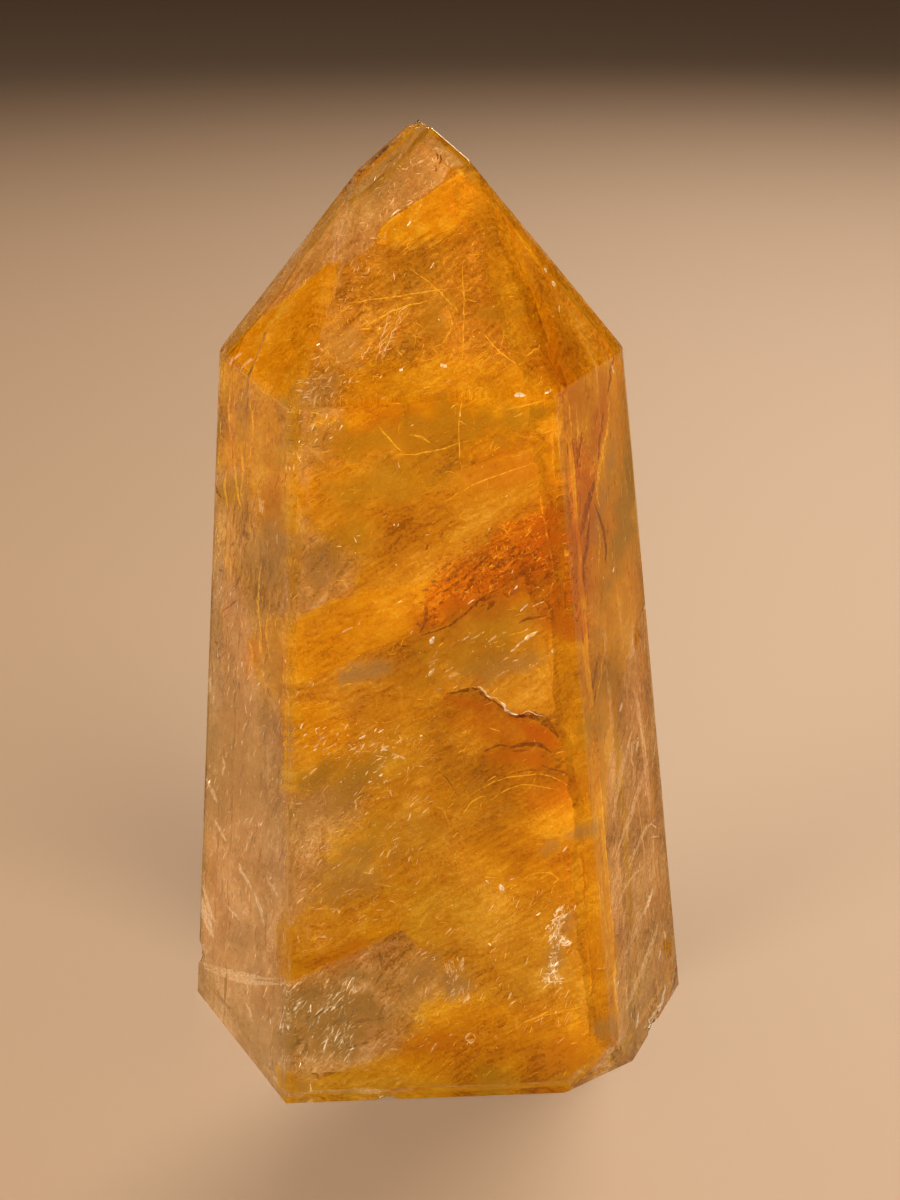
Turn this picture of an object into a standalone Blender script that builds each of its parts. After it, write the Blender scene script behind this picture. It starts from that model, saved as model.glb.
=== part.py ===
# Polished quartz tower: a six-sided column that narrows upwards and ends in a six-sided point.
#
# It is cut from one rough block, with one flat cut for each facet, and polishing then rounds
# the arrises a little. Z runs up the column. The flat base lies on z = 0, with the middle of
# its bounding box at the origin, and the front facet faces -Y. All lengths are in metres.
from math import cos, radians, sin

import bmesh
import bpy
from mathutils import Vector

MM = 0.001

# The rough block that the tower is cut from.
BLOCK_WIDTH = 80.0 * MM
BLOCK_HEIGHT = 110.0 * MM

# Column facets: heading of the facet in degrees from +X, its distance from the axis at the
# base, and how far it leans inwards going up, in degrees.
SIDE_FACETS = {
    "right_back": (30.2, 21.4 * MM, 5.0),
    "back": (91.5, 21.2 * MM, 4.2),
    "left_back": (150.3, 21.0 * MM, 4.6),
    "left_front": (-150.3, 23.7 * MM, 3.6),
    "front": (-86.9, 21.0 * MM, 3.8),
    "right_front": (-25.0, 24.1 * MM, 6.9),
}

# Point facets: heading in degrees from +X, steepness from the horizontal in degrees, and the
# height at which the facet's plane would cross the column's axis.
POINT_FACETS = {
    "right_back": (26.5, 51.2, 89.0 * MM),
    "back": (92.0, 53.0, 93.8 * MM),
    "left_back": (149.3, 56.5, 93.1 * MM),
    "left_front": (-146.3, 54.7, 96.4 * MM),
    "front": (-88.6, 51.0, 89.2 * MM),
    "right_front": (-25.0, 55.2, 91.7 * MM),
}

# The front right corner of the base is cut off by a small facet that undercuts the column,
# described as a side facet that leans outwards.
CORNER_FACET = (-54.5, 23.7 * MM, -19.2)

# Polishing rounds every arris, the ones around the base too.
ARRIS_WIDTH = 0.9 * MM
ARRIS_SEGMENTS = 3
SHARP_ARRIS_ANGLE = radians(15.0)

# Yellow quartz, clear under a glassy polish.
QUARTZ_COLOUR = (0.78, 0.40, 0.05, 1.0)
QUARTZ_ROUGHNESS = 0.05
QUARTZ_IOR = 1.544
QUARTZ_TRANSMISSION = 0.5


def clear_scene():
    for item in list(bpy.data.objects):
        bpy.data.objects.remove(item, do_unlink=True)


def heading_vector(heading):
    """Level unit vector that points at a heading in degrees."""
    return Vector((cos(radians(heading)), sin(radians(heading)), 0.0))


def side_plane(heading, distance, lean):
    """A point and the outward normal of a column facet."""
    outward = heading_vector(heading)
    normal = outward * cos(radians(lean)) + Vector((0.0, 0.0, sin(radians(lean))))
    return outward * distance, normal


def point_plane(heading, steepness, axis_height):
    """A point and the outward normal of a facet of the tower's point."""
    outward = heading_vector(heading)
    normal = outward * sin(radians(steepness)) + Vector((0.0, 0.0, cos(radians(steepness))))
    return Vector((0.0, 0.0, axis_height)), normal


def rough_block(bm):
    """A box that stands on z = 0."""
    bmesh.ops.create_cube(bm, size=1.0)
    bmesh.ops.scale(bm, verts=bm.verts, vec=(BLOCK_WIDTH, BLOCK_WIDTH, BLOCK_HEIGHT))
    bmesh.ops.translate(bm, verts=bm.verts, vec=(0.0, 0.0, BLOCK_HEIGHT / 2.0))


def cut_facet(bm, point, normal):
    """Cut away what lies outside a plane and close the stone with the new facet."""
    everything = bm.verts[:] + bm.edges[:] + bm.faces[:]
    cut = bmesh.ops.bisect_plane(bm, geom=everything, plane_co=point, plane_no=normal, clear_outer=True)
    rim = [item for item in cut["geom_cut"] if isinstance(item, bmesh.types.BMEdge)]
    bmesh.ops.edgeloop_fill(bm, edges=rim)


def centre_on_base(bm):
    """Move the stone level so that its bounding box is centred on the Z axis."""
    middle = Vector((0.0, 0.0, 0.0))
    for axis in (0, 1):
        places = [vert.co[axis] for vert in bm.verts]
        middle[axis] = (min(places) + max(places)) / 2.0
    bmesh.ops.translate(bm, verts=bm.verts, vec=-middle)


def faceted_stone():
    """Mesh of the tower with sharp arrises."""
    bm = bmesh.new()
    rough_block(bm)
    for facet in SIDE_FACETS.values():
        cut_facet(bm, *side_plane(*facet))
    for facet in POINT_FACETS.values():
        cut_facet(bm, *point_plane(*facet))
    cut_facet(bm, *side_plane(*CORNER_FACET))
    centre_on_base(bm)
    bmesh.ops.recalc_face_normals(bm, faces=bm.faces)
    mesh = bpy.data.meshes.new("quartz_tower")
    bm.to_mesh(mesh)
    bm.free()
    return mesh


def quartz_material():
    material = bpy.data.materials.new("golden_quartz")
    material.use_nodes = True
    shader = material.node_tree.nodes["Principled BSDF"]
    shader.inputs["Base Color"].default_value = QUARTZ_COLOUR
    shader.inputs["Roughness"].default_value = QUARTZ_ROUGHNESS
    shader.inputs["Metallic"].default_value = 0.0
    shader.inputs["IOR"].default_value = QUARTZ_IOR
    shader.inputs["Transmission Weight"].default_value = QUARTZ_TRANSMISSION
    return material


def round_arrises(tower):
    """Soften the arrises as polishing does."""
    polish = tower.modifiers.new("polished_arrises", "BEVEL")
    polish.width = ARRIS_WIDTH
    polish.segments = ARRIS_SEGMENTS
    polish.limit_method = "ANGLE"
    polish.angle_limit = SHARP_ARRIS_ANGLE


def build_tower():
    collection = bpy.data.collections.new("golden_quartz_tower")
    bpy.context.scene.collection.children.link(collection)
    tower = bpy.data.objects.new("quartz_tower", faceted_stone())
    tower.data.materials.append(quartz_material())
    collection.objects.link(tower)
    round_arrises(tower)
    return tower


clear_scene()
build_tower()
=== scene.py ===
import math
import random

import bmesh
import bpy
import numpy
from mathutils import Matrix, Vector, geometry, interpolate, noise
from mathutils.bvhtree import BVHTree


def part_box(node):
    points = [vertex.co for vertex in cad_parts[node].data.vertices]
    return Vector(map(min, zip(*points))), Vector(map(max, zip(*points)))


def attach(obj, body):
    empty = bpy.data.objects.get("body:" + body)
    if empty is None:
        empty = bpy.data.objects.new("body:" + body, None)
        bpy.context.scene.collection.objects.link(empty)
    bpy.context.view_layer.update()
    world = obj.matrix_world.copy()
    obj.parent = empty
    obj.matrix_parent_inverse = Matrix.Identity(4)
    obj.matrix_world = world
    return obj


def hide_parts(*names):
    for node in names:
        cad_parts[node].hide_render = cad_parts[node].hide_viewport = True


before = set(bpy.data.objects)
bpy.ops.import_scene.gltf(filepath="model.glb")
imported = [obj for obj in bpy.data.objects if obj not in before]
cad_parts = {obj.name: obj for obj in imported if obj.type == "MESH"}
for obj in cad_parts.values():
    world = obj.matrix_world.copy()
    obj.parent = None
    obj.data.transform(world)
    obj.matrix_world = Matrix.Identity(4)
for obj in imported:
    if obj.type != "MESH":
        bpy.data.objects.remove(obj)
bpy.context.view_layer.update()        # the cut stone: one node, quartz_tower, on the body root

mm = 0.001                  # in metres
quartzIor = 1.544
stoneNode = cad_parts["quartz_tower"]


# small helpers
def hexToLinear(hexColour):  # "#rrggbb" to the linear colour that the shaders take
    channels = []
    for start in (1, 3, 5):
        value = int(hexColour[start:start + 2], 16) / 255.0
        channels.append(value / 12.92 if value <= 0.04045 else ((value + 0.055) / 1.055) ** 2.4)
    return (*channels, 1.0)


def addNode(tree, kind, inputs=None, **settings):
    # adds a node with its settings; inputs holds sockets to link and plain values, by name or number
    node = tree.nodes.new(kind)
    for name, value in settings.items():
        setattr(node, name, value)
    for name, value in (inputs or {}).items():
        if isinstance(value, bpy.types.NodeSocket):
            tree.links.new(value, node.inputs[name])
        else:
            node.inputs[name].default_value = value
    return node


def seedShift(name, wide, high):  # gives each piece its own place in the noise
    return Vector((len(name) * wide, sum(map(ord, name)) * high, 0.0))


def newMaterial(name):
    material = bpy.data.materials.new(name)
    material.use_nodes = True
    material.node_tree.nodes.clear()
    return material, material.node_tree


def finishPiece(name, bm, material):
    # turns a bmesh into a piece of the stone that rides with it
    mesh = bpy.data.meshes.new(name)
    bm.to_mesh(mesh)
    bm.free()
    mesh.materials.append(material)
    mesh.shade_smooth()
    piece = bpy.data.objects.new(name, mesh)
    piece.visible_shadow = False        # lamps light what lies deep in the stone, as in real quartz
    bpy.context.scene.collection.objects.link(piece)
    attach(piece, "root")
    return piece


# camera
cameraView = {
    "place": (0.014 * mm, -165.5 * mm, 109.5 * mm),
    "lookDown": 21.65,      # degrees below the horizon
    "turnRight": 0.41,      # degrees
    "lens": 54.0,
    "sensor": 36.0,         # on the picture's long side
    "pictureWide": 900.0,
    "pictureHigh": 1200.0,
    "pointsPerMm": 9.5,     # the picture's points to a mm of the stone
    "nearest": 0.01,        # metres
    "farthest": 10.0,
}


def makeCamera():
    data = bpy.data.cameras.new("camera")
    data.lens = cameraView["lens"]
    data.sensor_width = cameraView["sensor"]
    data.clip_start = cameraView["nearest"]
    data.clip_end = cameraView["farthest"]
    camera = bpy.data.objects.new("camera", data)
    camera.location = cameraView["place"]
    tilt = math.radians(90.0 - cameraView["lookDown"])
    camera.rotation_euler = (tilt, 0.0, -math.radians(cameraView["turnRight"]))
    bpy.context.scene.collection.objects.link(camera)
    bpy.context.scene.camera = camera
    bpy.context.view_layer.update()
    return camera.matrix_world.to_3x3()


pictureTurn = makeCamera()


def pictureRay(x, y):  # direction of the camera's ray through a point of the 900 x 1200 picture
    focal = cameraView["lens"] / cameraView["sensor"] * cameraView["pictureHigh"]
    across = (x - cameraView["pictureWide"] / 2.0) / focal
    up = (cameraView["pictureHigh"] / 2.0 - y) / focal
    return (pictureTurn @ Vector((across, up, -1.0))).normalized()


# the stone's facets
def readFacets(count=14, sameWay=0.9999):
    # six sides, six tip facets, the base and the cut corner, as (middle, outward normal); faces whose
    # normals agree by more than sameWay belong to one facet
    groups = {}
    for polygon in stoneNode.data.polygons:
        key = tuple(round(part, 2) for part in polygon.normal)
        area, point, normal = groups.get(key, (0.0, polygon.center.copy(), polygon.normal.copy()))
        groups[key] = (area + polygon.area, point, normal)
    largest = sorted(groups.values(), key=lambda group: -group[0])[:count]
    planes = []
    for area, point, normal in largest:
        corners = [
            stoneNode.data.vertices[corner].co for polygon in stoneNode.data.polygons
            if polygon.normal.dot(normal) > sameWay for corner in polygon.vertices
        ]
        low = [min(corner[axis] for corner in corners) for axis in range(3)]
        high = [max(corner[axis] for corner in corners) for axis in range(3)]
        middle = (Vector(low) + Vector(high)) / 2.0
        planes.append((middle + normal * (point - middle).dot(normal), normal))
    return planes


facets = readFacets()


def facetToward(heading, rise):  # the facet that faces nearest to a heading and a rise in degrees
    level = math.cos(math.radians(rise))
    wanted = Vector((
        math.cos(math.radians(heading)) * level,
        math.sin(math.radians(heading)) * level,
        math.sin(math.radians(rise)),
    ))
    return max(facets, key=lambda facet: facet[1].dot(wanted))


frontFacet = facetToward(-87.0, 4.0)
leftFacet = facetToward(-150.0, 4.0)
rightFacet = facetToward(-25.0, 7.0)
frontTipFacet = facetToward(-88.0, 39.0)
leftTipFacet = facetToward(-146.0, 35.0)
rightTipFacet = facetToward(-25.0, 35.0)


def arrisBetween(facetA, facetB):
    # the plane that touches the stone along the arris of two facets and leans evenly between them
    normal = (facetA[1] + facetB[1]).normalized()
    place, direction = geometry.intersect_plane_plane(*facetA, *facetB)
    middle = (facetA[0] + facetB[0]) / 2.0
    return place + direction * (middle - place).dot(direction), normal


def seenThrough(facet, x, y, depth):
    # the place in the stone that the camera sees at (x, y) through a facet, as many mm under it as depth
    point, normal = facet
    ray = pictureRay(x, y)
    start = Vector(cameraView["place"])
    entry = start + ray * ((point - start).dot(normal) / ray.dot(normal))
    cosIn = -ray.dot(normal)
    cosBent = math.sqrt(1.0 - (1.0 - cosIn * cosIn) / quartzIor ** 2)
    bent = ray / quartzIor + normal * (cosIn / quartzIor - cosBent)
    return entry + bent * (depth * mm / cosBent)


# a side says how pieces are placed: a function of x, y and depth, how many points of x and y go to a mm,
# and which way y counts, -1.0 down and 1.0 up
def cameraSide(facet):  # by the picture's points, through a facet
    return (lambda x, y, depth: seenThrough(facet, x, y, depth)), cameraView["pointsPerMm"], -1.0


def facetSide(facet):  # by mm across and up a facet, from its middle
    point, normal = facet
    across = Vector((-normal.y, normal.x, 0.0)).normalized()
    up = normal.cross(across)
    return (lambda x, y, depth: point + (across * x + up * y - normal * depth) * mm), 1.0, 1.0


def trimToStone(bm, inset):  # cuts off what would come nearer to a facet than inset mm
    places = numpy.array([vert.co[:] for vert in bm.verts])
    for point, normal in facets:
        if numpy.max((places - numpy.array(point)) @ numpy.array(normal)) <= -inset * mm:
            continue
        everything = bm.verts[:] + bm.edges[:] + bm.faces[:]
        bmesh.ops.bisect_plane(
            bm, geom=everything, plane_co=point - normal * inset * mm, plane_no=normal, clear_outer=True
        )


# clear quartz
polish = {
    "cell": 1.1,            # mm, spacing of the cuts that give the facets points to undulate with
    "wave": 0.035,          # mm, how far hand polishing leaves a facet from flat
    "waveLength": 9.0,      # mm
    "slopeStep": 0.3,       # mm, over which the wave's slope is measured
    "flatFoot": 0.5,        # mm of height over which the stone keeps its flat base
    "roughness": 0.02,
    "depthTint": "#f4ecb0",
    "tintDensity": 22.0,    # per metre
}


def clearQuartz():
    # clear quartz with a glassy polish: sharp refraction, a faint straw tint that grows with depth
    material, tree = newMaterial("polishedClearQuartz")
    shader = addNode(tree, "ShaderNodeBsdfPrincipled", {
        "Base Color": (1.0, 1.0, 1.0, 1.0), "Roughness": polish["roughness"], "IOR": quartzIor,
        "Transmission Weight": 1.0,
    })
    inside = addNode(tree, "ShaderNodeVolumeAbsorption", {
        "Color": hexToLinear(polish["depthTint"]), "Density": polish["tintDensity"],
    })
    addNode(tree, "ShaderNodeOutputMaterial", {"Surface": shader.outputs[0], "Volume": inside.outputs[0]})
    return material


# little shell-shaped bites that knocks have left on the arrises
chipEdge = {
    "ragged": 0.25,         # share of the reach that the rim wanders
    "raggedSize": 0.7,      # mm
    "ripple": 0.12,         # share of the depth
    "ripples": 16.0,        # radians from middle to rim
}
chips = [
    # place, reach and depth in mm
    ((20.9, -3.9, 41.5), 1.9, 0.55), ((24.6, -3.8, 6.0), 1.6, 0.5), ((22.3, -9.3, 1.0), 1.8, 0.5),
    ((17.2, -18.6, 3.2), 1.5, 0.4), ((-1.6, 0.8, 90.0), 1.3, 0.35), ((-5.0, -21.0, 0.6), 1.3, 0.35),
    ((-25.2, -3.0, 5.0), 1.5, 0.4), ((-12.3, -20.9, 1.2), 1.4, 0.35), ((12.4, 20.6, 30.0), 1.6, 0.45),
    ((-11.0, 18.4, 45.0), 1.5, 0.4), ((5.0, 21.3, 0.8), 1.6, 0.4),
]


def refineNear(bm, place, reach):     # a finer mesh where a chip goes, with edges cut in half twice
    for _ in range(2):
        near = [edge for edge in bm.edges if any((vert.co - place).length < reach for vert in edge.verts)]
        bmesh.ops.subdivide_edges(bm, edges=near, cuts=1, use_grid_fill=True)
    bmesh.ops.triangulate(bm, faces=[face for face in bm.faces if len(face.verts) > 4])


def chipAway(bm, place, reach, depth):     # sinks a bowl with conchoidal ripples
    sunk = []
    for vert in bm.verts:
        away = (vert.co - place).length / reach
        away += chipEdge["ragged"] * noise.noise(vert.co / (chipEdge["raggedSize"] * mm))
        if away < 1.0:
            bowl = (1.0 - away * away) + chipEdge["ripple"] * math.sin(away * chipEdge["ripples"])
            vert.co -= vert.normal * depth * bowl
            sunk.append(vert)
    return sunk


def polishWave(place):     # how far polishing by hand has left the surface from flat
    return noise.noise(place / (polish["waveLength"] * mm)) * polish["wave"] * mm


def polishSlope(place):
    step = polish["slopeStep"] * mm
    axes = [Vector((step, 0.0, 0.0)), Vector((0.0, step, 0.0)), Vector((0.0, 0.0, step))]
    rises = [polishWave(place + axis) - polishWave(place - axis) for axis in axes]
    return Vector([rise / (2.0 * step) for rise in rises])


def evenNormals(bm, uncut):
    # normals read from the uncut stone, where each facet counts by its area and so stays flat
    corners = {
        vert: sum((face.normal * face.calc_area() for face in vert.link_faces), Vector()).normalized()
        for vert in uncut.verts
    }
    uncut.faces.ensure_lookup_table()
    tree = BVHTree.FromBMesh(uncut)
    normals = []
    for vert in bm.verts:
        place, _, index, _ = tree.find_nearest(vert.co)
        around = uncut.faces[index].verts
        shares = interpolate.poly_3d_calc([corner.co / mm for corner in around], place / mm)
        normals.append(sum((corners[corner] * share for corner, share in zip(around, shares)), Vector()))
    return normals


def makeShell(closeness=1e-6):     # metres between points that count as one
    bm = bmesh.new()
    bm.from_mesh(stoneNode.data)
    bmesh.ops.remove_doubles(bm, verts=bm.verts, dist=closeness)
    bmesh.ops.dissolve_limit(bm, angle_limit=math.radians(0.5), verts=bm.verts, edges=bm.edges)
    uncut = bm.copy()
    low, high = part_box("quartz_tower")
    for axis in range(3):
        normal = Vector((0.0, 0.0, 0.0))
        normal[axis] = 1.0
        place = low[axis] + polish["cell"] * mm
        while place < high[axis]:
            everything = bm.verts[:] + bm.edges[:] + bm.faces[:]
            point = Vector((0.0, 0.0, 0.0))
            point[axis] = place
            bmesh.ops.bisect_plane(bm, geom=everything, dist=closeness, plane_co=point, plane_no=normal)
            place += polish["cell"] * mm
    for place, reach, depth in chips:
        refineNear(bm, Vector(place) * mm, reach * mm)
    bm.normal_update()
    normals = {}
    for vert, flat in zip(bm.verts, evenNormals(bm, uncut)):
        slope = polishSlope(vert.co)
        normals[vert] = (flat - slope + flat * slope.dot(flat)).normalized()
        if vert.co.z > polish["flatFoot"] * mm:
            vert.co += flat * polishWave(vert.co)
    sunk = []
    for place, reach, depth in chips:
        sunk += chipAway(bm, Vector(place) * mm, reach * mm, depth * mm)
    bm.normal_update()
    for vert in sunk:
        normals[vert] = vert.normal.copy()
    normals = [normals[vert] for vert in bm.verts]
    uncut.free()
    shell = finishPiece("clearQuartzTower", bm, clearQuartz())
    shell.data.normals_split_custom_set_from_vertices(normals)
    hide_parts("quartz_tower")
    print("clear quartz:", len(shell.data.polygons), "faces")


# veils: thin films of iron oxide or fine bubbles in healed fractures
films = {
    # colours run from the thickest stain to the thinnest; density is the share that the film hides and
    # thin the share of that it loses where it is torn; streak is the slope of the grain in degrees,
    # grain how many streaks there are to a mm, silk how strong they are against clouds and dust; glow is
    # the share of the light that it lets through
    "limonite": {"colours": ("#9a6400", "#c89000", "#dcaa00", "#f8d040"), "density": 0.97, "thin": 0.3,
                 "streak": 26.0, "grain": 2.4, "silk": 0.95, "glow": 0.45},
    "amber": {"colours": ("#7a4a00", "#ac7400", "#c69000", "#eebc30"), "density": 0.97, "thin": 0.3,
              "streak": 34.0, "grain": 2.8, "silk": 0.95, "glow": 0.45},
    "brightLimonite": {"colours": ("#c08400", "#e4aa00", "#f6c008", "#ffe468"), "density": 0.97,
                       "thin": 0.2, "streak": 24.0, "grain": 2.6, "silk": 0.95, "glow": 0.5},
    "paleLimonite": {"colours": ("#6e4e08", "#a48014", "#c09c20", "#e8c854"), "density": 0.94,
                     "thin": 0.35, "streak": 60.0, "grain": 2.2, "silk": 1.1, "glow": 0.5},
    "hematite": {"colours": ("#5a2200", "#b86000", "#e89400", "#ffc848"), "density": 0.97, "thin": 0.3,
                 "streak": 34.0, "grain": 2.6, "silk": 1.2, "glow": 0.35},
    "milk": {"colours": ("#9a744c", "#c49e6e", "#dcbc8c", "#fce8cc"), "density": 0.85, "thin": 0.75,
             "streak": 66.0, "grain": 2.0, "silk": 0.9, "glow": 0.5},
    "goldenMilk": {"colours": ("#6c4a08", "#b08420", "#dcb048", "#fce09c"), "density": 0.92,
                   "thin": 0.5, "streak": 74.0, "grain": 2.4, "silk": 1.1, "glow": 0.5},
    "smoke": {"colours": ("#66502e", "#b08a5c", "#dcb886", "#fff0d4"), "density": 0.94, "thin": 0.25,
              "streak": 50.0, "grain": 2.0, "silk": 0.8, "glow": 0.5},
    "goldBloom": {"colours": ("#b87c00", "#d89c08", "#e8b41c", "#fcd860"), "density": 0.34, "thin": 0.3,
                  "streak": 40.0, "grain": 2.4, "silk": 1.0, "glow": 0.4},
    "bloom": {"colours": ("#a87c30", "#cca458", "#dcb87c", "#fce8c4"), "density": 0.32, "thin": 0.32,
              "streak": 58.0, "grain": 2.4, "silk": 0.7, "glow": 0.4},
}
# what the patches turn a veil's own colour to
patchColours = {"rust": "#c87a00", "milk": "#bc9c60", "olive": "#b89424"}
filmGrain = {
    "lean": 5.0,            # mm, how far a cloud bends the silky streaks
    "along": 0.18,          # the streaks' fineness along and between them, as shares of the grain
    "between": 0.5,
    "dust": 3.4,            # specks to a mm, coarse enough to show
    "tones": (-0.3, 0.28),  # from the thickest stain to the thinnest, against the average
    "tear": 0.25,           # how far from the average the film is whole or torn thin
    "fray": 1.4,            # how strongly the stain pushes the film's edge about
    "rim": (-0.69, -0.12),  # where the film begins and where it is whole, against the average
    "plainPatch": 0.6,      # share of a patch that doesn't follow the stain
    "roughness": 0.45,
    "ior": 1.1,             # of iron oxide and bubbles against the quartz around them
}


def thinLayer(tree, amount, colour, glow, skin):
    # a skin that lets the share glow of the light through, and nothing at all where amount is 0
    face = addNode(tree, "ShaderNodeBsdfPrincipled", {"Base Color": colour, **skin})
    through = addNode(tree, "ShaderNodeBsdfTranslucent", {"Color": colour})
    body = addNode(tree, "ShaderNodeMixShader", {0: glow, 1: face.outputs[0], 2: through.outputs[0]})
    clear = addNode(tree, "ShaderNodeBsdfTransparent")
    seen = addNode(tree, "ShaderNodeMixShader", {0: amount, 1: clear.outputs[0], 2: body.outputs[0]})
    addNode(tree, "ShaderNodeOutputMaterial", {"Surface": seen.outputs[0]})


def veilMaterial(name):
    # limonite or bubble film: dusty and matt, lets part of the light through, torn thin in places
    film = films[name]
    material, tree = newMaterial(name + "Film")
    coordinates = addNode(tree, "ShaderNodeTexCoord")
    inMm = addNode(tree, "ShaderNodeVectorMath", {0: coordinates.outputs["Object"], "Scale": 1000.0},
                   operation="SCALE")
    # silky streaks and dust over the clouds that the mesh carries
    cloud = addNode(tree, "ShaderNodeAttribute", attribute_name="cloud")
    lean = addNode(tree, "ShaderNodeVectorMath",
                   {0: cloud.outputs["Vector"], 1: (filmGrain["lean"],) * 3, 2: inMm.outputs[0]},
                   operation="MULTIPLY_ADD")
    turned = addNode(tree, "ShaderNodeMapping",
                     {"Vector": lean.outputs[0], "Rotation": (0.0, math.radians(film["streak"]), 0.0)})
    grain = film["grain"]
    fineness = (filmGrain["along"] * grain, filmGrain["between"] * grain, grain)
    pulled = addNode(tree, "ShaderNodeMapping", {"Vector": turned.outputs[0], "Scale": fineness})
    silk = addNode(tree, "ShaderNodeTexNoise",
                   {"Vector": pulled.outputs[0], "Scale": 1.0, "Detail": 4.0, "Roughness": 0.7})
    dust = addNode(tree, "ShaderNodeTexNoise",
                   {"Vector": inMm.outputs[0], "Scale": filmGrain["dust"], "Detail": 3.0, "Roughness": 0.9})
    silky = addNode(tree, "ShaderNodeMath",
                    {0: silk.outputs["Fac"], 1: film["silk"], 2: cloud.outputs["Fac"]},
                    operation="MULTIPLY_ADD")
    stain = addNode(tree, "ShaderNodeMath", {0: dust.outputs["Fac"], 1: 1.0, 2: silky.outputs[0]},
                    operation="MULTIPLY_ADD")
    average = 1.0 + 0.5 * film["silk"]      # of cloud, silk and dust together
    thickest, thinnest = filmGrain["tones"]
    tone = addNode(tree, "ShaderNodeMapRange", {
        "Value": stain.outputs[0], "From Min": average + thickest, "From Max": average + thinnest,
    })
    ramp = addNode(tree, "ShaderNodeValToRGB", {0: tone.outputs[0]})
    for index, colour in enumerate(film["colours"]):
        stops = ramp.color_ramp.elements
        place = index / (len(film["colours"]) - 1)
        stop = stops[index] if index < 2 else stops.new(place)
        stop.position = place
        stop.color = hexToLinear(colour)

    # patches of rust, milk and olive, partly broken up by the stain
    marks = addNode(tree, "ShaderNodeAttribute", attribute_name="patches")
    parts = addNode(tree, "ShaderNodeSeparateXYZ", {0: marks.outputs["Vector"]})
    colour = ramp.outputs["Color"]
    for part, patchColour in zip(parts.outputs, patchColours.values()):
        uneven = addNode(tree, "ShaderNodeMath", {0: part, 1: tone.outputs[0]}, operation="MULTIPLY")
        share = addNode(tree, "ShaderNodeMath", {0: part, 1: filmGrain["plainPatch"], 2: uneven.outputs[0]},
                        operation="MULTIPLY_ADD", use_clamp=True)
        mixed = addNode(tree, "ShaderNodeMix", {
            0: share.outputs[0], 6: colour, 7: hexToLinear(patchColour),
        }, data_type="RGBA")
        colour = mixed.outputs[2]

    # the film ends where its edge value, pushed about by the stain, runs out
    edge = addNode(tree, "ShaderNodeAttribute", attribute_name="edge")
    fray = filmGrain["fray"]
    wander = addNode(tree, "ShaderNodeMath", {0: silky.outputs[0], 1: fray, 2: edge.outputs["Fac"]},
                     operation="MULTIPLY_ADD")
    start, whole = filmGrain["rim"]
    cover = addNode(tree, "ShaderNodeMapRange", {
        "Value": wander.outputs[0], "From Min": fray * average + start, "From Max": fray * average + whole,
    }, interpolation_type="SMOOTHSTEP")
    tear = filmGrain["tear"]
    thick = addNode(tree, "ShaderNodeMapRange", {
        "Value": stain.outputs[0], "From Min": average - tear, "From Max": average + tear,
        "To Min": film["density"], "To Max": film["density"] * (1.0 - film["thin"]),
    }, interpolation_type="SMOOTHSTEP")
    amount = addNode(tree, "ShaderNodeMath", {0: cover.outputs[0], 1: thick.outputs[0]},
                     operation="MULTIPLY")
    thinLayer(tree, amount.outputs[0], colour, film["glow"],
              {"Roughness": filmGrain["roughness"], "IOR": filmGrain["ior"]})
    return material


filmMaterials = {name: veilMaterial(name) for name in films}


def outlineReach(outline):     # least and most x, least and most y
    across = [point[0] for point in outline]
    along = [point[1] for point in outline]
    return min(across), max(across), min(along), max(along)


def insideOutline(outline, x, y):     # x and y are numbers or arrays
    inside = False
    for index, (x2, y2, *_) in enumerate(outline):
        x1, y1 = outline[index - 1][:2]
        if y1 != y2:
            crossed = x < (x2 - x1) * (y - y1) / (y2 - y1) + x1
            inside = inside ^ (((y1 > y) != (y2 > y)) & crossed)
    return inside


def edgeValues(outline, x, y):
    # for arrays of places: 0 on the outline, rising to 1 as far inside as the outline's softness there
    nearest = numpy.inf
    for index, (x2, y2, soft2) in enumerate(outline):
        x1, y1, soft1 = outline[index - 1]
        length = (x2 - x1) ** 2 + (y2 - y1) ** 2
        along = numpy.clip(((x - x1) * (x2 - x1) + (y - y1) * (y2 - y1)) / length, 0.0, 1.0)
        away = numpy.hypot(x - x1 - along * (x2 - x1), y - y1 - along * (y2 - y1))
        nearest = numpy.minimum(nearest, away / (soft1 + along * (soft2 - soft1)))
    return numpy.clip(numpy.where(insideOutline(outline, x, y), nearest, -nearest), -1.0, 1.0)


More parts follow.
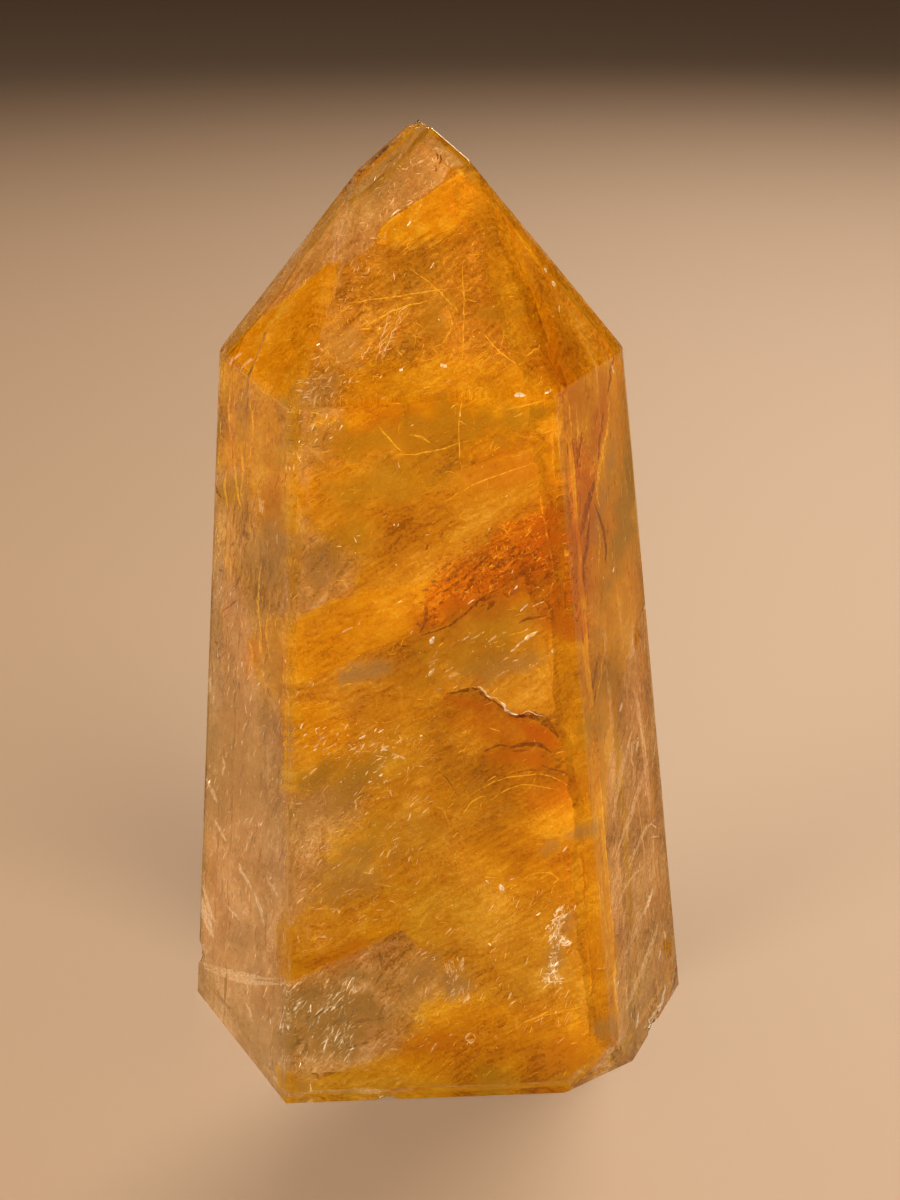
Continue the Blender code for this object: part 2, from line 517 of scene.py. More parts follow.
# patches that recolour the veils the camera sees: middle x and y, half length and half width in the
# picture's points, slope in degrees and strength
patches = {
    "rust": [           # where iron oxide is thickest
        (400, 430, 90, 34, 4, 0.3), (560, 370, 60, 22, -70, 0.35), (500, 470, 60, 26, 20, 0.3),
        (500, 590, 100, 26, 24, 0.55), (548, 540, 40, 26, 60, 0.8), (560, 610, 36, 30, 60, 0.6),
        # painted shade: the patches at (474, 704), (534, 732) and (530, 759) darken the veil below the
        # crack and its lower lines
        (583, 550, 76, 18, 84, 0.6), (500, 730, 70, 24, -18, 0.3), (474, 704, 36, 9, -12, 0.6),
        (534, 732, 38, 11, -32, 0.7), (530, 759, 38, 10, -4, 0.5), (330, 962, 60, 14, 28, 0.3),
        (560, 1060, 60, 22, 28, 0.3), (430, 1045, 40, 12, 10, 0.25), (560, 790, 50, 14, 12, 0.3),
        (272, 500, 40, 10, 85, 0.2), (250, 660, 22, 7, 80, 0.4), (596, 430, 90, 9, 80, 0.5),
        (590, 560, 60, 9, 88, 0.25), (450, 205, 20, 5, 70, 0.3),
    ],
    "milk": [           # where fine bubbles outweigh the stain
        (310, 432, 26, 20, 30, 0.25), (316, 572, 34, 26, 60, 0.75), (370, 672, 44, 11, 16, 0.85),
        (345, 345, 30, 26, 40, 0.35), (315, 392, 36, 18, 30, 0.5), (500, 668, 44, 18, 20, 0.55),
        (330, 800, 60, 30, 40, 0.5), (345, 880, 50, 30, 30, 0.45), (455, 985, 16, 22, 70, 0.7),
        (420, 975, 36, 14, 50, 0.6), (578, 832, 22, 10, 20, 0.55), (552, 845, 16, 8, 20, 0.5),
        (558, 950, 42, 12, 70, 0.6), (605, 1030, 14, 10, 60, 0.6), (330, 1020, 70, 44, 20, 0.9),
        (265, 560, 50, 22, 80, 0.6), (236, 760, 90, 40, 85, 0.5), (605, 490, 70, 5, 78, 0.5),
        (375, 190, 16, 8, 60, 0.6),
    ],
    "olive": [          # where clear smoky quartz shows through
        (432, 322, 34, 24, 60, 0.4), (488, 314, 16, 9, 10, 0.6), (400, 480, 80, 26, 14, 0.45),
        (430, 432, 120, 30, 8, 0.6), (345, 540, 40, 18, 20, 0.4), (316, 436, 44, 30, 30, 0.6),
        (480, 640, 90, 40, 24, 0.4), (400, 830, 60, 30, 10, 0.3), (350, 770, 60, 24, 20, 0.5),
        (492, 1072, 26, 14, 0, 0.6), (626, 500, 120, 12, 80, 0.9), (232, 490, 30, 14, 80, 0.7),
        (600, 700, 60, 16, 75, 0.4),
    ],
}
patchEdge = {
    "size": 24.0,           # points, of the unevenness of a patch's rim
    "wander": 0.7,          # share of the patch's size that the rim wanders
    "steepness": 1.8,       # how fast a patch gains its full strength
}


def patchValues(x, y):  # how much rust, milk and olive there is at places of the picture
    wander = numpy.array([
        noise.fractal(Vector((placeX, placeY, 0.0)) / patchEdge["size"], 0.8, 2.2, 4)
        for placeX, placeY in zip(x, y)
    ])
    layers = []
    for kind in patchColours:
        layer = numpy.zeros(x.shape)
        for middleX, middleY, length, width, slope, strength in patches[kind]:
            turn = math.radians(slope)
            across, down = x - middleX, y - middleY
            along = (across * math.cos(turn) - down * math.sin(turn)) / length
            aside = (across * math.sin(turn) + down * math.cos(turn)) / width
            inner = 1.0 - numpy.hypot(along, aside) + patchEdge["wander"] * wander
            share = strength * numpy.clip(inner * patchEdge["steepness"], 0.0, 1.0)
            layer = numpy.maximum(layer, share)
        layers.append(layer)
    return numpy.stack(layers, axis=1)


veilShape = {
    "ripple": 0.5,          # mm, height of a veil's own waves
    "rippleLength": 7.0,    # mm
    "cloud": 5.5,           # mm, size of the clouds in the stain
    "cloudStrength": 0.25,
    "shallowest": 0.3,      # mm under the polish
    "spare": 0.5,           # how far the mesh goes on outside its outline, in softnesses
    "cell": 0.42,           # mm, size of the mesh's cells
    "coarseCell": 0.9,      # mm, in haze and on the sides away from the camera
}
chance = {                  # rust, milk and olive on the sides away from the camera
    "size": 11.0,           # mm
    "steepness": 1.6,       # how fast a patch gains its full strength
    "rarity": 0.35,
    "most": 0.8,
}


def billows(place, octaves=4):
    return noise.fractal(place, 0.9, 2.1, octaves)


def chancePatches(place, shift):
    drifts = [billows(place / (chance["size"] * mm) + shift * number, 3) for number in (2, 3, 4)]
    strengths = [chance["steepness"] * drift - chance["rarity"] for drift in drifts]
    return Vector([max(0.0, min(chance["most"], strength)) for strength in strengths])


def makeVeil(name, film, side, depths, outline, cell):
    # outline: (x, y, softness) in the side's points; depths: mm under the facet at the outline's least
    # x, most x, least y and most y
    place, pointsPerMm, upSign = side
    leastX, mostX, leastY, mostY = outlineReach(outline)
    bm = bmesh.new()
    bmesh.ops.create_grid(bm, x_segments=max(2, round((mostX - leastX) / pointsPerMm / cell)),
                          y_segments=max(2, round((mostY - leastY) / pointsPerMm / cell)), size=0.5)
    edgeLayer = bm.verts.layers.float.new("edge")
    cloudLayer = bm.verts.layers.float.new("cloud")
    patchLayer = bm.verts.layers.float_vector.new("patches")
    shift = seedShift(name, 7.3, 0.31)
    spots = numpy.array([vert.co[:2] for vert in bm.verts]) + 0.5
    allX = leastX + (mostX - leastX) * spots[:, 0]
    allY = leastY + (mostY - leastY) * spots[:, 1]
    edges = edgeValues(outline, allX, allY)
    facesCamera = upSign < 0.0
    if facesCamera:
        marks = patchValues(allX, allY)
    for index, vert in enumerate(bm.verts):
        across, along = spots[index]
        x, y = allX[index], allY[index]
        vert[edgeLayer] = edges[index]
        depth = (depths[0] * (1.0 - across) + depths[1] * across) / 2.0
        depth += (depths[2] * (1.0 - along) + depths[3] * along) / 2.0
        wave = billows(Vector((x, y, 0.0)) / (veilShape["rippleLength"] * pointsPerMm) + shift)
        depth += veilShape["ripple"] * wave
        vert.co = place(x, y, max(veilShape["shallowest"], depth))
        cloud = billows(vert.co / (veilShape["cloud"] * mm) + shift)
        vert[cloudLayer] = 0.5 + veilShape["cloudStrength"] * cloud
        vert[patchLayer] = marks[index] if facesCamera else chancePatches(vert.co, shift)
    outside = [
        face for face in bm.faces if all(vert[edgeLayer] <= -veilShape["spare"] for vert in face.verts)
    ]
    bmesh.ops.delete(bm, geom=outside, context="FACES")
    trimToStone(bm, veilShape["shallowest"])
    finishPiece(name, bm, filmMaterials[film])


front = cameraSide(frontFacet)
left = cameraSide(leftFacet)
right = cameraSide(rightFacet)
frontTip = cameraSide(frontTipFacet)
leftTip = cameraSide(leftTipFacet)
rightTip = cameraSide(rightTipFacet)
rightArris = cameraSide(arrisBetween(frontFacet, rightFacet))
rightTipArris = cameraSide(arrisBetween(frontTipFacet, rightTipFacet))
middleArris = cameraSide(arrisBetween(frontFacet, frontTipFacet))
rightBack = facetSide(facetToward(30.0, 5.0))
back = facetSide(facetToward(92.0, 4.0))
leftBack = facetSide(facetToward(150.0, 5.0))
rightBackTip = facetSide(facetToward(26.0, 39.0))
backTip = facetSide(facetToward(92.0, 37.0))
leftBackTip = facetSide(facetToward(149.0, 33.0))

print("stage: clear quartz")
makeShell()

goldVeils = [
    # the deep heart, 11 to 16 mm inside, closes the view through the column
    ("deepHeart", "paleLimonite", front, (14.0, 11.0, 12.0, 14.0),
     [(300, 380, 30), (580, 380, 20), (600, 700, 20), (622, 1000, 20), (590, 1092, 20), (400, 1090, 40),
      (380, 960, 40), (300, 900, 40)]),
    # the main film, 3 to 5 mm under the front, with notches at the left where the stone is clearer
    ("bodyGold", "limonite", front, (4.4, 3.0, 3.2, 3.2),
     [(300, 394, 12), (576, 388, 10), (602, 560, 12), (606, 700, 10), (602, 780, 6), (603, 842, 4),
      (608, 880, 3), (610, 915, 3), (620, 952, 3), (615, 987, 3), (617, 1030, 3), (600, 1055, 3),
      (557, 1087, 3), (420, 1092, 10), (378, 1060, 30), (440, 985, 36), (402, 930, 5), (290, 985, 4),
      (284, 930, 8), (312, 880, 44), (340, 800, 60), (290, 745, 30), (286, 700, 10), (286, 650, 14),
      (340, 600, 30), (350, 560, 30), (300, 528, 24), (284, 500, 10), (304, 462, 40), (344, 436, 50),
      (330, 400, 50)]),
    ("bottomGold", "limonite", front, (2.5, 2.5, 3.4, 2.4),
     [(276, 1062, 10), (310, 1076, 16), (390, 1050, 24), (440, 990, 40), (560, 1000, 40), (612, 1040, 4),
      (557, 1089, 3), (286, 1101, 3)]),
    ("wing", "brightLimonite", front, (2.2, 2.0, 2.2, 1.8),
     [(286, 636, 10), (297, 615, 8), (330, 597, 10), (380, 585, 14), (440, 572, 20), (500, 552, 30),
      (524, 577, 4), (500, 587, 3), (482, 597, 3), (457, 620, 3), (415, 636, 3), (365, 654, 5),
      (330, 674, 6), (288, 690, 8)]),
    ("oxidePatch", "hematite", front, (1.8, 1.5, 2.0, 1.5),
     [(416, 637, 3), (423, 600, 10), (440, 560, 24), (480, 530, 30), (505, 518, 10), (540, 512, 8),
      (545, 470, 20), (560, 470, 8), (590, 640, 6), (560, 634, 5), (538, 618, 6), (524, 592, 5),
      (522, 577, 3), (500, 587, 3), (482, 597, 3), (457, 620, 3)]),
    ("upperFan", "amber", front, (2.0, 2.4, 2.0, 2.8),
     [(312, 470, 50), (350, 396, 30), (575, 392, 14), (580, 440, 20), (520, 452, 3), (472, 467, 3),
      (430, 500, 40)]),
    ("underCrack", "amber", front, (2.2, 1.8, 1.6, 3.0),
     [(400, 706, 40), (451, 692, 3), (475, 689, 2), (485, 696, 2), (502, 704, 2), (515, 714, 2),
      (537, 714, 2), (547, 722, 2), (557, 735, 3), (592, 790, 30), (520, 840, 60), (420, 800, 60)]),
    ("lowerFan", "limonite", front, (2.2, 2.4, 2.4, 2.2),
     [(440, 850, 50), (520, 790, 40), (585, 770, 16), (600, 860, 12), (600, 900, 30), (520, 930, 60)]),
    ("lowGrey", "smoke", front, (1.6, 2.4, 2.0, 2.0),
     [(287, 988, 3), (350, 960, 3), (398, 936, 4), (420, 985, 30), (380, 1058, 24), (300, 1072, 14),
      (286, 1056, 6)]),
    ("lowerWing", "brightLimonite", front, (2.0, 2.2, 2.0, 2.2),
     [(286, 692, 10), (330, 700, 24), (370, 732, 40), (336, 796, 44), (284, 800, 40)]),
    ("darkBand", "limonite", front, (1.6, 2.0, 1.8, 1.8),
     [(286, 984, 3), (286, 955, 16), (330, 940, 20), (400, 912, 14), (402, 930, 3), (350, 956, 3)]),
    ("tipGold", "amber", frontTip, (1.6, 2.6, 1.5, 3.0),
     [(441, 182, 3), (448, 166, 6), (478, 160, 8), (540, 286, 10), (572, 380, 8), (560, 398, 8),
      (294, 406, 8), (300, 380, 12), (330, 290, 10), (344, 262, 4), (363, 253, 2.5), (373, 244, 2.5),
      (379, 226, 2.5), (394, 213, 2.5), (412, 201, 2.5)]),
    ("tipBright", "brightLimonite", frontTip, (1.1, 1.6, 1.2, 2.0),
     [(441, 184, 3), (462, 168, 10), (480, 205, 20), (470, 240, 30), (400, 250, 24), (374, 246, 4),
      (380, 228, 3), (395, 215, 3), (413, 203, 3)]),
    ("tipDeep", "brightLimonite", frontTip, (6.0, 5.0, 4.0, 7.0),
     [(450, 190, 20), (480, 190, 20), (560, 330, 20), (550, 400, 20), (300, 410, 30), (330, 290, 40)]),
    ("tipMilk", "milk", frontTip, (2.0, 2.0, 2.0, 2.4),
     [(418, 116, 6), (470, 158, 8), (448, 190, 10), (400, 230, 10), (350, 290, 20), (300, 400, 20),
      (360, 168, 6)]),
    ("leftTipGold", "brightLimonite", leftTip, (1.4, 1.6, 1.6, 1.4),
     [(340, 250, 4), (320, 268, 4), (297, 288, 5), (270, 309, 5), (247, 329, 5), (222, 352, 5),
      (291, 409, 5)]),
    ("leftTipMilk", "milk", leftTip, (2.2,) * 4,
     [(357, 172, 6), (292, 408, 6), (220, 348, 6)]),
    ("rightTipGold", "limonite", rightTip, (1.6,) * 4,
     [(470, 162, 5), (623, 347, 5), (552, 393, 5)]),
    ("rightGold", "limonite", right, (1.8, 1.2, 1.6, 1.4),
     [(553, 393, 5), (623, 351, 5), (640, 480, 5), (648, 604, 2.5), (632, 640, 3), (620, 700, 3),
      (609, 760, 2.5), (607, 832, 2), (604, 852, 2), (609, 880, 2), (610, 915, 2), (620, 952, 2),
      (615, 987, 2), (619, 1044, 2), (605, 1046, 4), (588, 850, 5)]),
    # these two carry the gold on behind the rounded arrises
    ("arrisGold", "limonite", rightArris, (1.3,) * 4,
     [(520, 396, 44), (576, 396, 24), (598, 600, 24), (612, 780, 5), (607, 835, 2), (605, 855, 2),
      (613, 900, 2), (623, 950, 2), (617, 1000, 2), (622, 1042, 3), (574, 1046, 44), (550, 850, 44),
      (530, 600, 44)]),
    ("middleArrisGold", "limonite", middleArris, (2.3,) * 4,
     [(326, 354, 46), (560, 346, 46), (576, 442, 46), (326, 442, 46)]),
    ("tipArrisGold", "limonite", rightTipArris, (1.2,) * 4,
     [(446, 176, 30), (480, 168, 16), (580, 392, 30), (512, 396, 44)]),
    ("rightRust", "hematite", right, (1.2, 1.0, 1.2, 1.2),
     [(560, 440, 8), (586, 430, 14), (600, 470, 8), (584, 530, 6), (590, 600, 6), (594, 660, 10),
      (572, 640, 8)]),
    ("rightUpperGold", "amber", right, (4.0, 3.0, 3.0, 4.0),
     [(553, 393, 8), (623, 351, 6), (640, 560, 30), (600, 780, 20), (578, 760, 10)]),
    ("leftGold", "goldenMilk", left, (1.6, 1.8, 1.5, 2.4),
     [(220, 354, 5), (291, 408, 5), (288, 700, 16), (262, 730, 40), (250, 690, 20), (244, 620, 20),
      (212, 560, 30), (214, 450, 6)]),
    ("leftAmber", "limonite", left, (1.3,) * 4,
     [(220, 356, 6), (291, 410, 6), (290, 530, 8), (268, 560, 16), (250, 520, 24), (236, 470, 20),
      (216, 470, 10)]),
    ("leftDrip", "limonite", left, (1.3,) * 4,
     [(246, 640, 4), (272, 610, 16), (289, 620, 8), (288, 720, 12), (268, 690, 8), (254, 676, 4)]),
    ("leftMilk", "milk", left, (3.0,) * 4,
     [(220, 354, 6), (291, 408, 6), (287, 1098, 10), (198, 990, 8)]),
]
hazeVeils = [
    # fine bubbles deep inside and close under the polish, all over the facets
    ("frontSmoke", "smoke", front, (7.0, 8.0, 8.0, 7.0),
     [(284, 405, 14), (560, 395, 14), (612, 700, 14), (618, 1036, 10), (566, 1094, 8), (286, 1104, 8)]),
    ("leftSmoke", "smoke", left, (5.5, 6.5, 6.0, 5.5),
     [(218, 350, 8), (292, 405, 8), (288, 1104, 10), (196, 992, 8)]),
    ("rightSmoke", "smoke", right, (6.0, 5.0, 6.0, 5.0),
     [(552, 392, 8), (624, 350, 8), (680, 986, 8), (634, 1062, 8), (608, 1040, 8)]),
    ("frontTipSmoke", "smoke", frontTip, (4.0, 4.0, 3.0, 5.0),
     [(290, 408, 8), (360, 168, 6), (418, 116, 6), (470, 158, 6), (554, 394, 8)]),
    ("leftTipSmoke", "smoke", leftTip, (4.0,) * 4,
     [(220, 350, 6), (356, 172, 6), (294, 408, 6)]),
    ("rightTipSmoke", "smoke", rightTip, (4.0,) * 4,
     [(550, 393, 6), (470, 162, 6), (624, 346, 6)]),
    ("frontBloom", "goldBloom", front, (0.8,) * 4,
     [(284, 405, 14), (560, 395, 14), (618, 1036, 10), (566, 1094, 8), (286, 1104, 8)]),
    ("leftBloom", "bloom", left, (0.8,) * 4,
     [(218, 350, 10), (292, 405, 10), (288, 1104, 10), (196, 992, 8)]),
    ("rightBloom", "goldBloom", right, (0.8,) * 4,
     [(552, 392, 10), (624, 350, 10), (680, 986, 8), (634, 1062, 8), (608, 1040, 8)]),
    ("frontTipBloom", "goldBloom", frontTip, (0.8,) * 4,
     [(290, 408, 10), (360, 168, 8), (418, 116, 8), (470, 158, 10), (554, 394, 10)]),
    ("leftTipBloom", "goldBloom", leftTip, (0.8,) * 4,
     [(220, 350, 8), (356, 172, 10), (294, 408, 8)]),
    ("rightTipBloom", "goldBloom", rightTip, (0.8,) * 4,
     [(550, 393, 8), (470, 162, 10), (624, 346, 8)]),
]


def rectangle(wide, top, bottom, soft=0.5):
    return [(-wide, top, soft), (wide, top, soft), (wide, bottom, soft), (-wide, bottom, soft)]


wholeSide = rectangle(18, 38, -38)
farVeils = [
    # on the sides away from the camera the outlines are in mm from the middle of each facet
    ("rightBackGold", "limonite", rightBack, (2.0, 2.6, 2.4, 2.0),
     [(-14, 37, 0.5), (14, 37, 0.5), (14, -2, 1.0), (7, -8, 0.4), (1, -13, 0.3), (-4, -21, 0.3),
      (-7, -30, 0.4), (-10, -37, 0.5), (-16, -37, 0.5)]),
    ("rightBackWing", "brightLimonite", rightBack, (1.6, 1.6, 1.6, 1.8),
     [(-12, 3, 1.5), (-4, 7, 3.0), (5, 13, 2.0), (13, 17, 0.6), (13, 10, 0.4), (4, 4, 0.3), (-5, -3, 0.4)]),
    ("rightBackRust", "hematite", rightBack, (1.2, 1.5, 1.4, 1.2),
     [(-10, -12, 0.6), (-3, -7, 2.0), (4, -3, 1.5), (8, -5, 0.4), (1, -12, 0.3), (-5, -20, 0.3)]),
    ("rightBackMilk", "milk", rightBack, (3.4, 3.0, 3.2, 3.4), rectangle(16, 37, -37)),
    ("backGold", "limonite", back, (2.4, 2.0, 2.6, 2.2),
     [(-14, 38, 0.5), (14, 38, 0.5), (14, -8, 1.0), (8, -6, 0.4), (2, -11, 0.3), (-4, -9, 0.3),
      (-9, -17, 0.4), (-14, -15, 1.0)]),
    ("backLowGold", "limonite", back, (1.8, 2.2, 1.8, 2.4),
     [(-14, -26, 1.5), (-5, -21, 3.0), (4, -27, 2.0), (13, -24, 1.0), (14, -37, 0.5), (-14, -37, 0.5)]),
    ("backFan", "brightLimonite", back, (1.4, 1.6, 1.5, 1.5),
     [(-11, 12, 0.4), (-3, 15, 0.3), (6, 22, 0.4), (10, 30, 3.0), (-2, 30, 4.0), (-10, 22, 3.0)]),
    ("backRust", "hematite", back, (1.2, 1.4, 1.2, 1.4),
     [(-3, -8, 0.3), (3, -10, 0.3), (9, -5, 0.4), (12, 2, 1.0), (7, 3, 2.0), (0, -2, 2.0)]),
    ("backMilk", "milk", back, (3.4, 3.2, 3.2, 3.4), rectangle(16, 38, -38)),
    ("leftBackGold", "limonite", leftBack, (2.2, 2.6, 2.2, 2.6),
     [(-16, 37, 0.5), (16, 37, 0.5), (14, 2, 1.5), (8, 8, 0.4), (1, 5, 0.3), (-5, -4, 0.3), (-9, -8, 0.5),
      (-16, -6, 0.5)]),
    ("leftBackFan", "brightLimonite", leftBack, (1.4, 1.6, 1.5, 1.5),
     [(-12, -24, 2.0), (-5, -15, 3.0), (3, -18, 0.4), (9, -12, 0.4), (13, -20, 1.5), (9, -34, 2.0),
      (-6, -36, 1.0)]),
    ("leftBackMilk", "milk", leftBack, (3.2, 3.4, 3.4, 3.2), rectangle(18, 37, -38)),
    ("rightBackTipGold", "limonite", rightBackTip, (1.6, 2.0, 1.8, 1.6), rectangle(14, 13, -13)),
    ("backTipGold", "limonite", backTip, (1.6, 2.0, 1.8, 1.6), rectangle(10, 11, -11)),
    ("leftBackTipMilk", "goldenMilk", leftBackTip, (1.6, 2.0, 1.8, 1.6), rectangle(16, 15, -15)),
    ("rightBackSmoke", "smoke", rightBack, (6.0, 6.0, 5.0, 6.0), wholeSide),
    ("backSmoke", "smoke", back, (6.0, 6.0, 6.0, 5.0), wholeSide),
    ("leftBackSmoke", "smoke", leftBack, (6.0, 6.0, 6.0, 5.0), wholeSide),
    ("rightBackBloom", "goldBloom", rightBack, (0.8,) * 4, wholeSide),
    ("backBloom", "goldBloom", back, (0.8,) * 4, wholeSide),
    ("leftBackBloom", "bloom", leftBack, (0.8,) * 4, wholeSide),
]
print("stage: golden veils")
for veil in goldVeils:
    makeVeil(*veil, veilShape["cell"])
for veil in hazeVeils + farVeils:
    makeVeil(*veil, veilShape["coarseCell"])
bpy.data.objects["deepHeart"].visible_shadow = True     # the heart alone casts a shadow

# flakes: splinters of open cracks, loose stain and painted glints, far too small and many to be sheets
flakeFinishes = {
    # mirror is how much of a flake is an air-filled crack that mirrors the light, the rest is powdery; the
    # pale and the bright gold finishes are also painted glints
    "frost": {"colour": "#ffe6c0", "mirror": 0.0, "cover": 0.85},
    # milky feathers and streaks, and painted glints on the left facet
    "mistAndGlint": {"colour": "#ffe8c8", "mirror": 0.0, "cover": 0.65},
    # near-white: white feathers and splinters, and painted glints and highlights
    "paleSplinterAndGlint": {"colour": "#fff6e4", "mirror": 0.2, "cover": 1.0},
    # bright gold: yellow fibres, threads and dust, and painted glints
    "goldDustAndGlint": {"colour": "#ffd048", "mirror": 0.0, "cover": 0.8},
    "rust": {"colour": "#7c3200", "mirror": 0.0, "cover": 0.85},
    "crackShade": {"colour": "#743000", "mirror": 0.0, "cover": 1.0},
    "ochre": {"colour": "#b06000", "mirror": 0.0, "cover": 0.8},
    "crackGrey": {"colour": "#7a6444", "mirror": 0.0, "cover": 0.5},
    "umber": {"colour": "#5c4420", "mirror": 0.0, "cover": 0.6},
}
flakeGrain = {
    "speckle": 2400.0,      # to a metre, so specks of 0.4 mm
    "specks": (0.3, 0.6),   # from a gap to a full speck in the noise
    "sparse": 0.3,          # how much of the cover is left between the specks
    "rim": 0.35,            # how far in from its rim a flake has thinned out
    "glow": 0.35,
    "roughness": 0.3,
    "ior": 1.3,
}


def flakeMaterial(name):
    # crack splinters: thin air films that mirror a lamp from some sides and look chalky from others
    finish = flakeFinishes[name]
    material, tree = newMaterial(name + "Flakes")
    coordinates = addNode(tree, "ShaderNodeTexCoord")
    speckle = addNode(tree, "ShaderNodeTexNoise", {
        "Vector": coordinates.outputs["Object"], "Scale": flakeGrain["speckle"], "Detail": 2.0,
    })
    gap, full = flakeGrain["specks"]
    cover = addNode(tree, "ShaderNodeMapRange", {
        "Value": speckle.outputs["Fac"], "From Min": gap, "From Max": full,
        "To Min": finish["cover"] * flakeGrain["sparse"], "To Max": finish["cover"],
    })
    # splinters and bands thin out to nothing at their rims
    body = addNode(tree, "ShaderNodeAttribute", attribute_name="body")
    solid = addNode(tree, "ShaderNodeMapRange",
                    {"Value": body.outputs["Fac"], "From Max": flakeGrain["rim"]})
    amount = addNode(tree, "ShaderNodeMath", {0: cover.outputs[0], 1: solid.outputs[0]},
                     operation="MULTIPLY")
    skin = {"Roughness": flakeGrain["roughness"], "Metallic": finish["mirror"], "IOR": flakeGrain["ior"]}
    thinLayer(tree, amount.outputs[0], hexToLinear(finish["colour"]), flakeGrain["glow"], skin)
    return material


flakeMaterials = {name: flakeMaterial(name) for name in flakeFinishes}
flakeShape = {
    "corners": 9,
    "cluster": 2.6,         # mm, size of the clusters that the flakes gather in
    "loose": 0.5,           # how many lie outside the clusters
    "bends": (-0.4, 1.0),   # least and most, as shares of a swarm's bend
    "lean": 0.5,            # how far a flake's length leans out of the facet's plane
    "roll": 0.9,            # how far its width does
    "ragged": 0.55,         # where its rim comes in most
    "rim": 0.1,             # how solid the rim is against the middle
    "shallowest": 0.25,     # mm under the polish
}


def makeFlakes(name, finish, side, swarm):
    # swarm: outline in the side's points and depths in mm that the flakes lie between, how many there
    # are, least and most length and width in mm, slope with its spread in degrees, and bend
    place, pointsPerMm, upSign = side
    outline = swarm["outline"]
    leastX, mostX, leastY, mostY = outlineReach(outline)
    shortest, longest = swarm["length"]
    narrowest, widest = swarm["width"]
    lean, roll = flakeShape["lean"], flakeShape["roll"]
    dice = random.Random(name)
    shift = seedShift(name, 3.7, 0.17)
    bm = bmesh.new()
    bodyLayer = bm.verts.layers.float.new("body")
    placed = 0
    while placed < swarm["count"]:
        x, y = dice.uniform(leastX, mostX), dice.uniform(leastY, mostY)
        if not insideOutline(outline, x, y):
            continue
        crowd = noise.noise(Vector((x, y, 0.0)) / (flakeShape["cluster"] * pointsPerMm) + shift)
        if crowd < dice.uniform(-flakeShape["loose"], flakeShape["loose"]):
            continue
        placed += 1
        depth = dice.uniform(*swarm["depth"])
        size = dice.random() ** 3
        length = shortest + (longest - shortest) * size
        width = narrowest + (widest - narrowest) * size * dice.random()
        slope = math.radians(dice.gauss(swarm["slope"], swarm["spread"]))
        bend = dice.uniform(*flakeShape["bends"]) * swarm["bend"] * length
        flake = bmesh.ops.create_circle(
            bm, cap_ends=True, cap_tris=True, segments=flakeShape["corners"], radius=0.5
        )
        middle = place(x, y, depth)
        level = (place(x + 1.0, y, depth) - middle).normalized()
        up = (place(x, y + 1.0, depth) - middle).normalized() * upSign
        inward = level.cross(up)
        along = level * math.cos(slope) + up * math.sin(slope) + inward * dice.uniform(-lean, lean)
        across = up * math.cos(slope) - level * math.sin(slope) + inward * dice.uniform(-roll, roll)
        across.normalize()
        for vert in flake["verts"]:
            reach = vert.co.x * 2.0     # -1.0 to 1.0 from end to end
            ragged = dice.uniform(flakeShape["ragged"], 1.0)
            vert[bodyLayer] = 1.0 if vert.co.length < 0.1 else flakeShape["rim"]
            offset = along * (reach * length / 2.0 * ragged)
            offset += across * (vert.co.y * width * ragged + bend * (1.0 - reach * reach))
            vert.co = middle + offset * mm
    trimToStone(bm, flakeShape["shallowest"])
    finishPiece(name, bm, flakeMaterials[finish])


